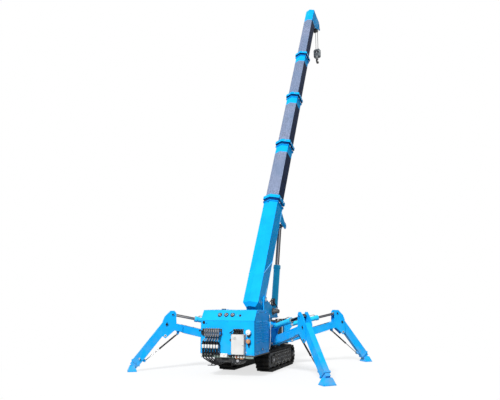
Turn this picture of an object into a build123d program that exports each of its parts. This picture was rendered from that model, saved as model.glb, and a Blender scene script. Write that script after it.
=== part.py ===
"""Compact tracked spider crane: a hood over rubber tracks, four folding
outriggers with hydraulic lift, and a slewing five-section hexagonal boom.

Millimetres. The origin is on the ground under the slewing axis, +X points
forward, +Y to the left and +Z up. The crane stands with its outriggers
spread and its boom raised and fully extended.
"""
from math import atan2, cos, degrees, hypot, pi, radians, sin, tan
import os

from build123d import *

# Sizes: ground, tracks and chassis
TRACK_LENGTH = 1340.0
TRACK_HEIGHT = 318.0
TRACK_WIDTH = 190.0
TRACK_OUTER_Y = 390.0
TRACK_CENTRE_X = -150.0
BELT_THICKNESS = 26.0
LUG_HEIGHT = 16.0
LUG_LENGTH = 30.0
LUG_PITCH = 62.0
ROLLER_RADIUS = 46.0
ROLLER_COUNT = 4
ROLLER_PITCH = 170.0
SPROCKET_TEETH = 13
SPROCKET_TOOTH = 16.0
HUB_RADIUS = 44.0
HUB_PROUD = 10.0
SIDE_FRAME_HEIGHT = 196.0
SIDE_FRAME_WIDTH = 130.0
RUNNING_GAP = 0.4
PLATE = 12.0

BODY_BOX_WIDTH = 300.0
BODY_BOX_BOTTOM = 112.0
DECK_Z = 335.0
DECK_THICKNESS = 20.0
DECK_WIDTH = 390.0
DECK_FRONT_X = 470.0

HOOD_REAR_X = -1368.0
HOOD_FRONT_X = -783.0
HOOD_WIDTH = 800.0
HOOD_BOTTOM = 296.0
HOOD_TOP = 877.0
HOOD_SHOULDER = 741.0
HOOD_TOP_SETBACK = 93.0
HOOD_CORNER = 14.0
SHEET = 4.0
LOUVRE_COUNT = 9
LOUVRE_PITCH = 34.0
LOUVRE_LENGTH = 190.0
LOUVRE_OPENING = 10.0
TAIL_PLATE = 16.0

ENGINE_LENGTH = 430.0
ENGINE_WIDTH = 480.0
ENGINE_HEIGHT = 420.0

# Sizes: slewing column
RING_RADIUS = 190.0
RING_HEIGHT = 30.0
COLUMN_LENGTH = 350.0
COLUMN_WIDTH = 210.0
TABLE_Z = 735.0
TABLE_THICKNESS = 15.0
SLEW_REST = -5.0
FOOT_PIN_U = -194.0
FOOT_PIN_Z = 1023.0
FOOT_PIN_RADIUS = 25.0
LUFF_PIN_U = 487.0
LUFF_PIN_Z = 800.0
LUFF_PIN_RADIUS = 22.0
CHEEK_THICKNESS = 16.0
CHEEK_GAP = 8.0

# Sizes: boom
LUFF_REST = 65.0
BOOM_WIDTH = 262.0
BOOM_SIDE = 230.0
ROOF_SLOPE = 22.0
BOOM_WALL = 4.5
SECTION_GAP = 3.5
BOOM_AXIS_ABOVE_PIN = 64.0
BOOM_TAIL = -130.0
TAIL_CAP = 60.0
TAIL_TAPER = 38.0
COLLAR_1_AT = 1910.0
PAD_LENGTH = 60.0
# Steps of each collar: from and to, back from the section's mouth, and how far it stands proud
COLLAR_STEPS = ((130.0, 100.0, 16.0), (100.0, 60.0, 6.0), (60.0, 0.0, 26.0))
RETRACTED_PITCH = 150.0
STROKE = 1166.0
TAIL_1_AT = 100.0
TAIL_STEP = 20.0
SECTION_COUNT = 5
HEAD_AT = 7441.0
HEAD_LENGTH = 390.0
SHEAVE_RADIUS = 90.0
SHEAVE_BELOW = 350.0
SHEAVE_BACK = 120.0
SHEAVE_WIDTH = 30.0
SHEAVE_SPACING = 50.0
SHEAVE_PIN_RADIUS = 16.0
LUFF_EYE_AT = 1606.0
LUFF_EYE_BELOW = 392.0

# Sizes: luffing cylinder
LUFF_BARREL_RADIUS = 56.0
LUFF_ROD_RADIUS = 36.0
LUFF_BARREL_LENGTH = 830.0
NECK_OVERLAP = 8.0
LUFF_NECK = 66.0
LUFF_BORE_START = 72.0
LUFF_ROD_START = 708.0
LUFF_EYE_RADIUS = 46.0
LUFF_EYE_WIDTH = 58.0
LUFF_ROD_EYE_RADIUS = 44.0
LUFF_ROD_EYE_WIDTH = 64.0
PIN_GAP = 0.3
BORE_GAP = 0.5

# Sizes: winch and hook
DRUM_U = 100.0
DRUM_Z = 842.0
DRUM_RADIUS = 58.0
DRUM_FLANGE_RADIUS = 84.0
DRUM_LENGTH = 150.0
ROPE_RADIUS = 4.5
ROPE_LENGTH = 580.0
GROOVE_DEPTH = 14.0
BLOCK_HEIGHT = 225.0
BLOCK_WIDTH = 165.0
BLOCK_CHEEK = 10.0
BLOCK_CHAMFER = 30.0
BLOCK_MARGIN = 45.0
CROSSHEAD_HEIGHT = 40.0
HOOK_THICKNESS = 34.0
HOOK_SHANK = 28.0
HOOK_SHANK_LENGTH = 50.0
HOOK_BOWL_RADIUS = 30.0
HOOK_BODY = 34.0
THROAT_FROM = 8.0
THROAT_TO = 62.0

# Outriggers: name, x and y of the upright pin, heading of the arm in degrees
OUTRIGGERS = (
    ("front_left", 205.0, 330.0, 47.6),
    ("front_right", 205.0, -330.0, -47.6),
    ("rear_left", -410.0, 330.0, 126.4),
    ("rear_right", -410.0, -330.0, -135.3),
)
# Direction in which each bracket stands away from the slewing axis
BRACKET_HEADING = {"front": 42.5, "rear": 113.0}

POST_PIN_RADIUS = 18.0
POST_HALF_LENGTH = 25.0
BRACKET_REACH = 122.0
BRACKET_POST_SIZE = 70.0
EAR_THICKNESS = 24.0
EAR_RADIUS = 46.0
UPPER_EAR_Z = 698.0
ARM_PIN_R = 90.0
ARM_PIN_Z = 385.0
LIFT_PIN_R = 90.0
LIFT_PIN_Z = 635.0
SMALL_PIN_RADIUS = 14.0
ARM_WIDTH = 90.0
ARM_BASE_HEIGHT = 128.0
ARM_KNEE_HEIGHT = 108.0
ARM_END_R = 862.0
ARM_END_Z = 612.0
KNEE_R = 1026.0
KNEE_Z = 660.0
KNEE_PIN_RADIUS = 17.0
PIN_HEAD_PROUD = 9.0
PIN_HEAD_HEIGHT = 8.0
ROD_PIN_R = 940.0
ROD_PIN_Z = 802.0
LOCK_HOLE_R = 1043.0
LOCK_HOLE_Z = 497.0
LOCK_HOLE_RADIUS = 11.0
KNEE_PLATE_OUTLINE = (
    (786.0, 545.0),
    (786.0, 640.0),
    (881.0, 668.0),
    (889.0, 826.0),
    (915.0, 858.0),
    (965.0, 858.0),
    (1050.0, 775.0),
    (1080.0, 705.0),
    (1083.0, 492.0),
    (1040.0, 456.0),
    (910.0, 568.0),
)
LIFT_BARREL_RADIUS = 38.0
LIFT_ROD_RADIUS = 20.0
LIFT_BARREL_LENGTH = 520.0
LIFT_NECK = 34.0
LIFT_BORE_START = 80.0
LIFT_ROD_START = 340.0
LIFT_EYE_RADIUS = 28.0
LIFT_EYE_WIDTH = 56.0
LEG_ANGLE = -51.6
LEG_DEPTH = 125.0
LEG_WIDTH = 80.0
LEG_WALL = 6.0
LEG_LENGTH = 703.0
LEG_BORE_START = 110.0
LEG_COLLAR_LENGTH = 24.0
LEG_COLLAR_PROUD = 7.0
INNER_LEG_START = 200.0
FOOT_BALL_AT = 765.0
INNER_LEG_END = 745.0
FOOT_LENGTH = 130.0
FOOT_WIDTH = 180.0
FOOT_PLATE = 14.0
FOOT_EDGE = 3.0
FOOT_HEIGHT = 88.0
FOOT_TAPER = 22.0
FOOT_PIN_HEIGHT = 62.0
FOOT_BOLT_RADIUS = 18.0
STRUT_ARM_R = 850.0
STRUT_ARM_Z = 524.0
STRUT_LEG_AT = 595.0
STRUT_LEG_OFF = -88.0
STRUT_BARREL_RADIUS = 12.0
STRUT_ROD_RADIUS = 6.0
STRUT_BARREL_LENGTH = 340.0
STRUT_NECK = 24.0
STRUT_BORE_START = 45.0
STRUT_ROD_START = 300.0
STRUT_EYE_RADIUS = 12.0
STRUT_EYE_WIDTH = 20.0
STRUT_PIN_RADIUS = 6.0

os.makedirs("parts", exist_ok=True)


def keep(piece, name):
    """Labels a finished piece and writes it to its own file."""
    piece.label = name
    export_step(piece, f"parts/{name}.step")


def upright_plane(x, y, heading, side=0.0):
    """A plane through (x, y) whose sketch X points along the heading and whose Y is up."""
    along = Vector(cos(radians(heading)), sin(radians(heading)), 0)
    across = Vector(sin(radians(heading)), -cos(radians(heading)), 0)
    return Plane(origin=Vector(x, y, 0) + across * side, x_dir=along, z_dir=across)


def turned(plane, at_x, at_y, angle):
    """The same plane with its origin moved within it and its axes turned."""
    centre = plane.from_local_coords((at_x, at_y, 0))
    along = plane.x_dir * cos(radians(angle)) + plane.y_dir * sin(radians(angle))
    return Plane(origin=centre, x_dir=along, z_dir=plane.z_dir)


def boom_outline(inset):
    """Half width, shoulder height and ridge height of the hexagon, set in by a distance."""
    half = BOOM_WIDTH / 2 - inset
    ridge = BOOM_SIDE / 2 + BOOM_WIDTH / 2 * tan(radians(ROOF_SLOPE)) - inset / cos(radians(ROOF_SLOPE))
    return half, ridge - half * tan(radians(ROOF_SLOPE)), ridge


def boom_hexagon(inset):
    """The corners of the boom's section as seen along its axis, ridge up."""
    half, shoulder, ridge = boom_outline(inset)
    return (
        (0, ridge),
        (half, shoulder),
        (half, -shoulder),
        (0, -ridge),
        (-half, -shoulder),
        (-half, shoulder),
    )


# Tracks: each belt is one loop with its lugs in the outline, round a side frame with its wheels
TRACK_Y = TRACK_OUTER_Y - TRACK_WIDTH / 2
TRACK_SIDES = (("left", 1), ("right", -1))
belt_height = TRACK_HEIGHT - 2 * LUG_HEIGHT
belt_length = TRACK_LENGTH - 2 * LUG_HEIGHT
belt_middle = (TRACK_CENTRE_X, TRACK_HEIGHT / 2)
end_spacing = belt_length - belt_height
straight_lugs = int(end_spacing / LUG_PITCH)
end_lugs = int(belt_height / 2 * pi / LUG_PITCH)
wheel_radius = belt_height / 2 - BELT_THICKNESS - RUNNING_GAP
wheel_x = (TRACK_CENTRE_X - end_spacing / 2, TRACK_CENTRE_X + end_spacing / 2)
roller_z = LUG_HEIGHT + BELT_THICKNESS + RUNNING_GAP + ROLLER_RADIUS
frame_plate_side = SIDE_FRAME_WIDTH / 2 - PLATE / 2

for track_name, sign in TRACK_SIDES:
    with BuildPart() as track:
        with BuildSketch(upright_plane(0, sign * TRACK_Y, 0)):
            with Locations(belt_middle):
                SlotOverall(belt_length, belt_height)
                with GridLocations(LUG_PITCH, belt_height, straight_lugs, 2):
                    Rectangle(LUG_LENGTH, 2 * LUG_HEIGHT)
            for centre_x, turn in zip(wheel_x, (90, -90)):
                first_lug = turn + 90 / end_lugs
                with Locations((centre_x, belt_middle[1])):
                    with PolarLocations(belt_height / 2, end_lugs, first_lug, 180 - 180 / end_lugs):
                        Rectangle(2 * LUG_HEIGHT, LUG_LENGTH)
            with Locations(belt_middle):
                SlotOverall(
                    belt_length - 2 * BELT_THICKNESS,
                    belt_height - 2 * BELT_THICKNESS,
                    mode=Mode.SUBTRACT,
                )
        extrude(amount=TRACK_WIDTH / 2, both=True)
    keep(track.part, f"track_{track_name}")

with BuildPart() as track_frames:
    for track_name, sign in TRACK_SIDES:
        for side in (-1, 1):
            with BuildSketch(upright_plane(0, sign * TRACK_Y, 0, side * frame_plate_side)):
                with Locations(belt_middle):
                    SlotOverall(end_spacing + SIDE_FRAME_HEIGHT, SIDE_FRAME_HEIGHT)
            extrude(amount=PLATE / 2, both=True)
        with BuildSketch(upright_plane(0, sign * TRACK_Y, 0)):
            with Locations((wheel_x[1], belt_middle[1])):
                Circle(wheel_radius)
            with Locations((wheel_x[0], belt_middle[1])):
                Circle(wheel_radius - SPROCKET_TOOTH)
                with PolarLocations(wheel_radius - SPROCKET_TOOTH, SPROCKET_TEETH):
                    Rectangle(2 * SPROCKET_TOOTH, SPROCKET_TOOTH)
            with Locations((TRACK_CENTRE_X, roller_z)):
                with GridLocations(ROLLER_PITCH, 1, ROLLER_COUNT, 1):
                    Circle(ROLLER_RADIUS)
        extrude(amount=frame_plate_side, both=True)
        with BuildSketch(upright_plane(0, sign * TRACK_Y, 0)):
            with Locations(*[(x, belt_middle[1]) for x in wheel_x]):
                Circle(HUB_RADIUS)
        extrude(amount=SIDE_FRAME_WIDTH / 2 + HUB_PROUD, both=True)
keep(track_frames.part, "track_frames")


# Chassis: centre box, deck, tail plate under the hood and four upright pin brackets
BODY_REAR_X = -700.0
BODY_FRONT_X = 420.0
CROSS_BEAM = 90.0
CROSS_BEAM_X = (-480.0, 180.0)
TAIL_RAIL_WIDTH = 70.0
TAIL_RAIL_DEPTH = 90.0
tail_z = HOOD_BOTTOM - TAIL_PLATE

with BuildPart() as chassis:
    with BuildSketch(Plane.XY.offset(BODY_BOX_BOTTOM)):
        with Locations(((BODY_REAR_X + BODY_FRONT_X) / 2, 0)):
            Rectangle(BODY_FRONT_X - BODY_REAR_X, BODY_BOX_WIDTH)
    extrude(amount=DECK_Z - BODY_BOX_BOTTOM)
    with BuildSketch(Plane.XY.offset(DECK_Z)):
        with Locations(((HOOD_FRONT_X + PLATE + DECK_FRONT_X) / 2, 0)):
            Rectangle(DECK_FRONT_X - HOOD_FRONT_X - PLATE, DECK_WIDTH)
    extrude(amount=DECK_THICKNESS)
    with BuildSketch(Plane.XY.offset(belt_middle[1] - CROSS_BEAM / 2)):
        for beam_x in CROSS_BEAM_X:
            with Locations((beam_x, 0)):
                Rectangle(CROSS_BEAM, 2 * (TRACK_Y - SIDE_FRAME_WIDTH / 2))
    extrude(amount=CROSS_BEAM)
    with BuildSketch(Plane.XY.offset(tail_z)):
        with Locations(((HOOD_REAR_X + HOOD_FRONT_X) / 2, 0)):
            Rectangle(HOOD_FRONT_X - HOOD_REAR_X, HOOD_WIDTH)
    extrude(amount=TAIL_PLATE)
    with BuildSketch(Plane.XY.offset(tail_z - TAIL_RAIL_DEPTH)):
        with Locations(((HOOD_REAR_X + PLATE + BODY_REAR_X) / 2, 0)):
            with GridLocations(0, BODY_BOX_WIDTH - TAIL_RAIL_WIDTH, 1, 2):
                Rectangle(BODY_REAR_X - HOOD_REAR_X - PLATE, TAIL_RAIL_WIDTH)
    extrude(amount=TAIL_RAIL_DEPTH)
    for name, post_x, post_y, heading in OUTRIGGERS:
        place = name.split("_")[0]
        across = 1 if post_y > 0 else -1
        away = across * BRACKET_HEADING[place]
        inward = Vector(-cos(radians(away)), -sin(radians(away)), 0)
        for ear_bottom in (DECK_Z, UPPER_EAR_Z):
            ear_plane = Plane(origin=(post_x, post_y, ear_bottom), x_dir=inward, z_dir=(0, 0, 1))
            with BuildSketch(ear_plane):
                Circle(EAR_RADIUS)
                with Locations((BRACKET_REACH / 2, 0)):
                    Rectangle(BRACKET_REACH, 2 * EAR_RADIUS)
                Circle(POST_PIN_RADIUS + PIN_GAP, mode=Mode.SUBTRACT)
            extrude(amount=EAR_THICKNESS)
        post_plane = Plane(origin=(post_x, post_y, DECK_Z), x_dir=inward, z_dir=(0, 0, 1))
        with BuildSketch(post_plane):
            with Locations((BRACKET_REACH, 0)):
                Rectangle(BRACKET_POST_SIZE, 2 * EAR_RADIUS)
        extrude(amount=UPPER_EAR_Z + EAR_THICKNESS - DECK_Z)
keep(chassis.part, "chassis")


# Hood: folded sheet with louvred sides, open below over the tail plate
with BuildPart() as hood:
    with BuildSketch(upright_plane(0, 0, 0)):
        Polygon(
            (HOOD_REAR_X, HOOD_BOTTOM),
            (HOOD_REAR_X, HOOD_SHOULDER),
            (HOOD_REAR_X + HOOD_TOP_SETBACK, HOOD_TOP),
            (HOOD_FRONT_X, HOOD_TOP),
            (HOOD_FRONT_X, HOOD_BOTTOM),
            align=None,
        )
    extrude(amount=HOOD_WIDTH / 2, both=True)
    fillet(hood.edges().filter_by(Axis.Z), HOOD_CORNER)
    offset(amount=-SHEET, openings=hood.faces().sort_by(Axis.Z)[0])
    for side in (-1, 1):
        with BuildSketch(upright_plane(0, 0, 0, side * (HOOD_WIDTH / 2 - SHEET / 2))):
            with Locations(((HOOD_REAR_X + HOOD_FRONT_X) / 2, (HOOD_BOTTOM + HOOD_TOP) / 2)):
                with GridLocations(LOUVRE_LENGTH * 1.3, LOUVRE_PITCH, 2, LOUVRE_COUNT):
                    Rectangle(LOUVRE_LENGTH, LOUVRE_OPENING)
        extrude(amount=SHEET, both=True, mode=Mode.SUBTRACT)
keep(hood.part, "hood")

with BuildPart() as engine:
    with BuildSketch(Plane.XY.offset(HOOD_BOTTOM)):
        with Locations(((HOOD_REAR_X + HOOD_FRONT_X) / 2, 0)):
            Rectangle(ENGINE_LENGTH, ENGINE_WIDTH)
    extrude(amount=ENGINE_HEIGHT)
keep(engine.part, "engine")


# Controls on the rear face of the hood
GAUGE_Y = (130.0, 33.0, -60.0)
GAUGE_ALONG_SLOPE = 88.0
GAUGE_RADIUS = 30.0
GAUGE_DEPTH = 12.0
GAUGE_SIDES = 16
BANK_Y = 222.0
BANK_Z = 583.0
BANK_WIDTH = 294.0
BANK_HEIGHT = 84.0
BANK_DEPTH = 86.0
BANK_SECTIONS = 7
BANK_GROOVE = 7.0
BANK_GROOVE_DEPTH = 16.0
BONNET_SIZE = 26.0
BONNET_HEIGHT = 18.0
LEVER_COUNT = 6
LEVER_OUT = 60.0
LEVER_RADIUS = 6.0
LEVER_SIDES = 8
LEVER_BOTTOM = 300.0
BOOT_RADIUS = 15.0
BOOT_TOP = 462.0
GRIP_RADIUS = 17.0
GRIP_TOP = 424.0
GRIP_BOTTOM = 376.0
BOX_Y = -184.0
BOX_WIDTH = 186.0
BOX_BOTTOM = 305.0
BOX_TOP = 566.0
BOX_DEPTH = 72.0
BOX_CORNER = 8.0
LAMP_Y = -322.0
LAMP_Z = 591.0
LAMP_RADIUS = 36.0
LAMP_DEPTH = 46.0
BUTTON_Z = 477.0
BUTTON_RADIUS = 30.0
BUTTON_DEPTH = 46.0
KNOB_Y = (-120.0, -155.0, -190.0, -225.0)
KNOB_Z = (618.0, 582.0)
KNOB_RADIUS = 12.0
KNOB_REACH = 52.0

rear_face = Plane(origin=(HOOD_REAR_X, 0, 0), x_dir=(0, -1, 0), z_dir=(-1, 0, 0))
slope = degrees(atan2(HOOD_TOP - HOOD_SHOULDER, HOOD_TOP_SETBACK))
slope_plane = Plane(
    origin=(HOOD_REAR_X, 0, HOOD_SHOULDER),
    x_dir=(0, -1, 0),
    z_dir=(-sin(radians(slope)), 0, cos(radians(slope))),
)
with BuildPart() as gauges:
    with BuildSketch(slope_plane):
        for gauge_y in GAUGE_Y:
            with Locations((-gauge_y, GAUGE_ALONG_SLOPE)):
                RegularPolygon(GAUGE_RADIUS, GAUGE_SIDES)
    extrude(amount=GAUGE_DEPTH)
keep(gauges.part, "gauges")

bank_pitch = BANK_WIDTH / BANK_SECTIONS
with BuildPart() as valve_bank:
    with BuildSketch(rear_face):
        with Locations((-BANK_Y, BANK_Z)):
            Rectangle(BANK_WIDTH, BANK_HEIGHT)
    extrude(amount=BANK_DEPTH)
    with BuildSketch(rear_face.offset(BANK_DEPTH - BANK_GROOVE_DEPTH)):
        with Locations((-BANK_Y, BANK_Z)):
            with GridLocations(bank_pitch, 1, BANK_SECTIONS - 1, 1):
                Rectangle(BANK_GROOVE, BANK_HEIGHT)
    extrude(amount=BANK_GROOVE_DEPTH, mode=Mode.SUBTRACT)
    with BuildSketch(Plane.XY.offset(BANK_Z - BANK_HEIGHT / 2 - BONNET_HEIGHT)):
        with Locations((HOOD_REAR_X - LEVER_OUT, BANK_Y)):
            with GridLocations(1, bank_pitch, 1, LEVER_COUNT):
                Rectangle(BONNET_SIZE, BONNET_SIZE)
    extrude(amount=BANK_HEIGHT + 2 * BONNET_HEIGHT)
keep(valve_bank.part, "valve_bank")

# The levers hang below the bank: rod, boot, grip and lower end, each with its height and radius
lever_steps = (
    (BANK_Z - BANK_HEIGHT / 2 - BONNET_HEIGHT, BOOT_TOP, LEVER_RADIUS),
    (BOOT_TOP, GRIP_TOP, BOOT_RADIUS),
    (GRIP_TOP, GRIP_BOTTOM, GRIP_RADIUS),
    (GRIP_BOTTOM, LEVER_BOTTOM, BOOT_RADIUS),
)
with BuildPart() as levers:
    for top, bottom, radius in lever_steps:
        with BuildSketch(Plane.XY.offset(bottom)):
            with Locations((HOOD_REAR_X - LEVER_OUT, BANK_Y)):
                with GridLocations(1, bank_pitch, 1, LEVER_COUNT):
                    RegularPolygon(radius, LEVER_SIDES)
        extrude(amount=top - bottom)
    with BuildSketch(rear_face):
        for knob_y in KNOB_Y:
            for knob_z in KNOB_Z:
                with Locations((-knob_y, knob_z)):
                    RegularPolygon(KNOB_RADIUS, LEVER_SIDES)
    extrude(amount=KNOB_REACH)
keep(levers.part, "levers")

with BuildPart() as control_box:
    with BuildSketch(rear_face):
        with Locations((-BOX_Y, (BOX_BOTTOM + BOX_TOP) / 2)):
            Rectangle(BOX_WIDTH, BOX_TOP - BOX_BOTTOM)
    extrude(amount=BOX_DEPTH)
    chamfer(control_box.edges().group_by(Axis.X)[0], BOX_CORNER)
keep(control_box.part, "control_box")

with BuildPart() as lamp:
    with BuildSketch(rear_face):
        with Locations((-LAMP_Y, LAMP_Z)):
            Circle(LAMP_RADIUS)
    extrude(amount=LAMP_DEPTH)
keep(lamp.part, "lamp")

with BuildPart() as stop_button:
    with BuildSketch(rear_face):
        with Locations((-LAMP_Y, BUTTON_Z)):
            Circle(BUTTON_RADIUS)
    extrude(amount=BUTTON_DEPTH)
keep(stop_button.part, "stop_button")


# Slewing column and table
with BuildPart() as ring:
    with BuildSketch(Plane.XY.offset(DECK_Z + DECK_THICKNESS)):
        Circle(RING_RADIUS)
    extrude(amount=RING_HEIGHT)
keep(ring.part, "slew_ring")

column_bottom = DECK_Z + DECK_THICKNESS + RING_HEIGHT + BORE_GAP
boom_side_room = BOOM_WIDTH / 2 + CHEEK_GAP
slew_plane = upright_plane(0, 0, SLEW_REST)
slew_top = Plane(origin=(0, 0, 0), x_dir=slew_plane.x_dir, z_dir=(0, 0, 1))
LUFF_BRACKET_THICKNESS = 14.0
LUFF_BRACKET_RADIUS = 46.0
COLUMN_FLANGE = 22.0
TABLE_REAR_U = -235.0
TABLE_FRONT_U = 270.0
TABLE_NOSE_U = 530.0
TABLE_NOSE_WIDTH = 120.0
CHEEK_RADIUS = 62.0

with BuildPart() as turret:
    with BuildSketch(slew_top.offset(column_bottom)):
        Circle(RING_RADIUS)
    extrude(amount=COLUMN_FLANGE)
    with BuildSketch(slew_top.offset(column_bottom)):
        Rectangle(COLUMN_LENGTH, COLUMN_WIDTH)
    extrude(amount=TABLE_Z - column_bottom)
    with BuildSketch(slew_top.offset(TABLE_Z)):
        with Locations(((TABLE_REAR_U + TABLE_FRONT_U) / 2, 0)):
            Rectangle(TABLE_FRONT_U - TABLE_REAR_U, 2 * (boom_side_room + CHEEK_THICKNESS))
        with Locations(((TABLE_FRONT_U + TABLE_NOSE_U) / 2, 0)):
            Rectangle(TABLE_NOSE_U - TABLE_FRONT_U, TABLE_NOSE_WIDTH)
    extrude(amount=TABLE_THICKNESS)
    table_top = TABLE_Z + TABLE_THICKNESS
    for side in (-1, 1):
        with BuildSketch(upright_plane(0, 0, SLEW_REST, side * (boom_side_room + CHEEK_THICKNESS / 2))):
            with BuildLine():
                Polyline(
                    (TABLE_REAR_U, table_top),
                    (FOOT_PIN_U - CHEEK_RADIUS, FOOT_PIN_Z),
                    (FOOT_PIN_U, FOOT_PIN_Z + CHEEK_RADIUS),
                    (FOOT_PIN_U + CHEEK_RADIUS, FOOT_PIN_Z),
                    (TABLE_FRONT_U, table_top + CHEEK_RADIUS),
                    (TABLE_FRONT_U, table_top),
                    close=True,
                )
            make_face()
            with Locations((FOOT_PIN_U, FOOT_PIN_Z)):
                Circle(CHEEK_RADIUS)
        extrude(amount=CHEEK_THICKNESS / 2, both=True)
    with BuildSketch(slew_plane):
        with Locations((FOOT_PIN_U, FOOT_PIN_Z)):
            Circle(FOOT_PIN_RADIUS)
    extrude(amount=boom_side_room + CHEEK_THICKNESS * 1.5, both=True)
    for side in (-1, 1):
        bracket_y = side * (LUFF_EYE_WIDTH / 2 + LUFF_BRACKET_THICKNESS / 2 + CHEEK_GAP / 2)
        with BuildSketch(upright_plane(0, 0, SLEW_REST, bracket_y)):
            with Locations((LUFF_PIN_U, LUFF_PIN_Z)):
                Circle(LUFF_BRACKET_RADIUS)
            Polygon(
                (LUFF_PIN_U + LUFF_BRACKET_RADIUS, LUFF_PIN_Z),
                (LUFF_PIN_U + LUFF_BRACKET_RADIUS, table_top),
                (TABLE_FRONT_U, table_top),
                (TABLE_FRONT_U, table_top + LUFF_BRACKET_RADIUS / 2),
                (LUFF_PIN_U, LUFF_PIN_Z + LUFF_BRACKET_RADIUS),
                align=None,
            )
        extrude(amount=LUFF_BRACKET_THICKNESS / 2, both=True)
    with BuildSketch(slew_plane):
        with Locations((LUFF_PIN_U, LUFF_PIN_Z)):
            Circle(LUFF_PIN_RADIUS)
    extrude(amount=LUFF_EYE_WIDTH / 2 + LUFF_BRACKET_THICKNESS * 1.5 + CHEEK_GAP / 2, both=True)
    with BuildSketch(slew_plane):
        with Locations((DRUM_U, DRUM_Z)):
            Circle(FOOT_PIN_RADIUS)
    extrude(amount=boom_side_room + CHEEK_THICKNESS, both=True)
keep(turret.part, "turret")

with BuildPart() as drum:
    with BuildSketch(slew_plane):
        with Locations((DRUM_U, DRUM_Z)):
            Circle(DRUM_FLANGE_RADIUS)
    extrude(amount=DRUM_LENGTH / 2 + PLATE, both=True)
    for side in (-1, 1):
        with BuildSketch(slew_plane):
            with Locations((DRUM_U, DRUM_Z)):
                Circle(DRUM_FLANGE_RADIUS)
                Circle(DRUM_RADIUS, mode=Mode.SUBTRACT)
        extrude(amount=side * DRUM_LENGTH / 2, mode=Mode.SUBTRACT)
    with BuildSketch(slew_plane):
        with Locations((DRUM_U, DRUM_Z)):
            Circle(FOOT_PIN_RADIUS + PIN_GAP)
    extrude(amount=DRUM_LENGTH, both=True, mode=Mode.SUBTRACT)
keep(drum.part, "winch_drum")


# Boom: hexagonal tubes that slide in each other, each with a collar at its mouth
foot_plane = turned(slew_plane, FOOT_PIN_U, FOOT_PIN_Z, LUFF_REST)
boom_side = turned(foot_plane, 0, BOOM_AXIS_ABOVE_PIN, 0)
INSET_STEP = BOOM_WALL + SECTION_GAP
collar_step = RETRACTED_PITCH + STROKE
shoulder_1 = boom_outline(0)[1]
EYE_PLATE_GAP = 88.0
EYE_PLATE_THICKNESS = 12.0
EYE_PLATE_RADIUS = 44.0
EYE_PLATE_SHOULDER = 100.0
HEAD_PLATE_THICKNESS = 12.0
HEAD_NOSE_RADIUS = 60.0
HEAD_NOSE_REACH = 20.0
HEAD_NOSE_BELOW = 290.0
sheave_at = (HEAD_AT - SHEAVE_BACK, -SHEAVE_BELOW)


def boom_section(t):
    """The plane across the boom's axis at a distance from its foot."""
    centre = boom_side.from_local_coords((t, 0, 0))
    return Plane(origin=centre, x_dir=-boom_side.z_dir, z_dir=boom_side.x_dir)


def collar_place(number):
    """Where the mouth of a boom section lies at rest, fully extended."""
    return COLLAR_1_AT + (number - 1) * collar_step


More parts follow.
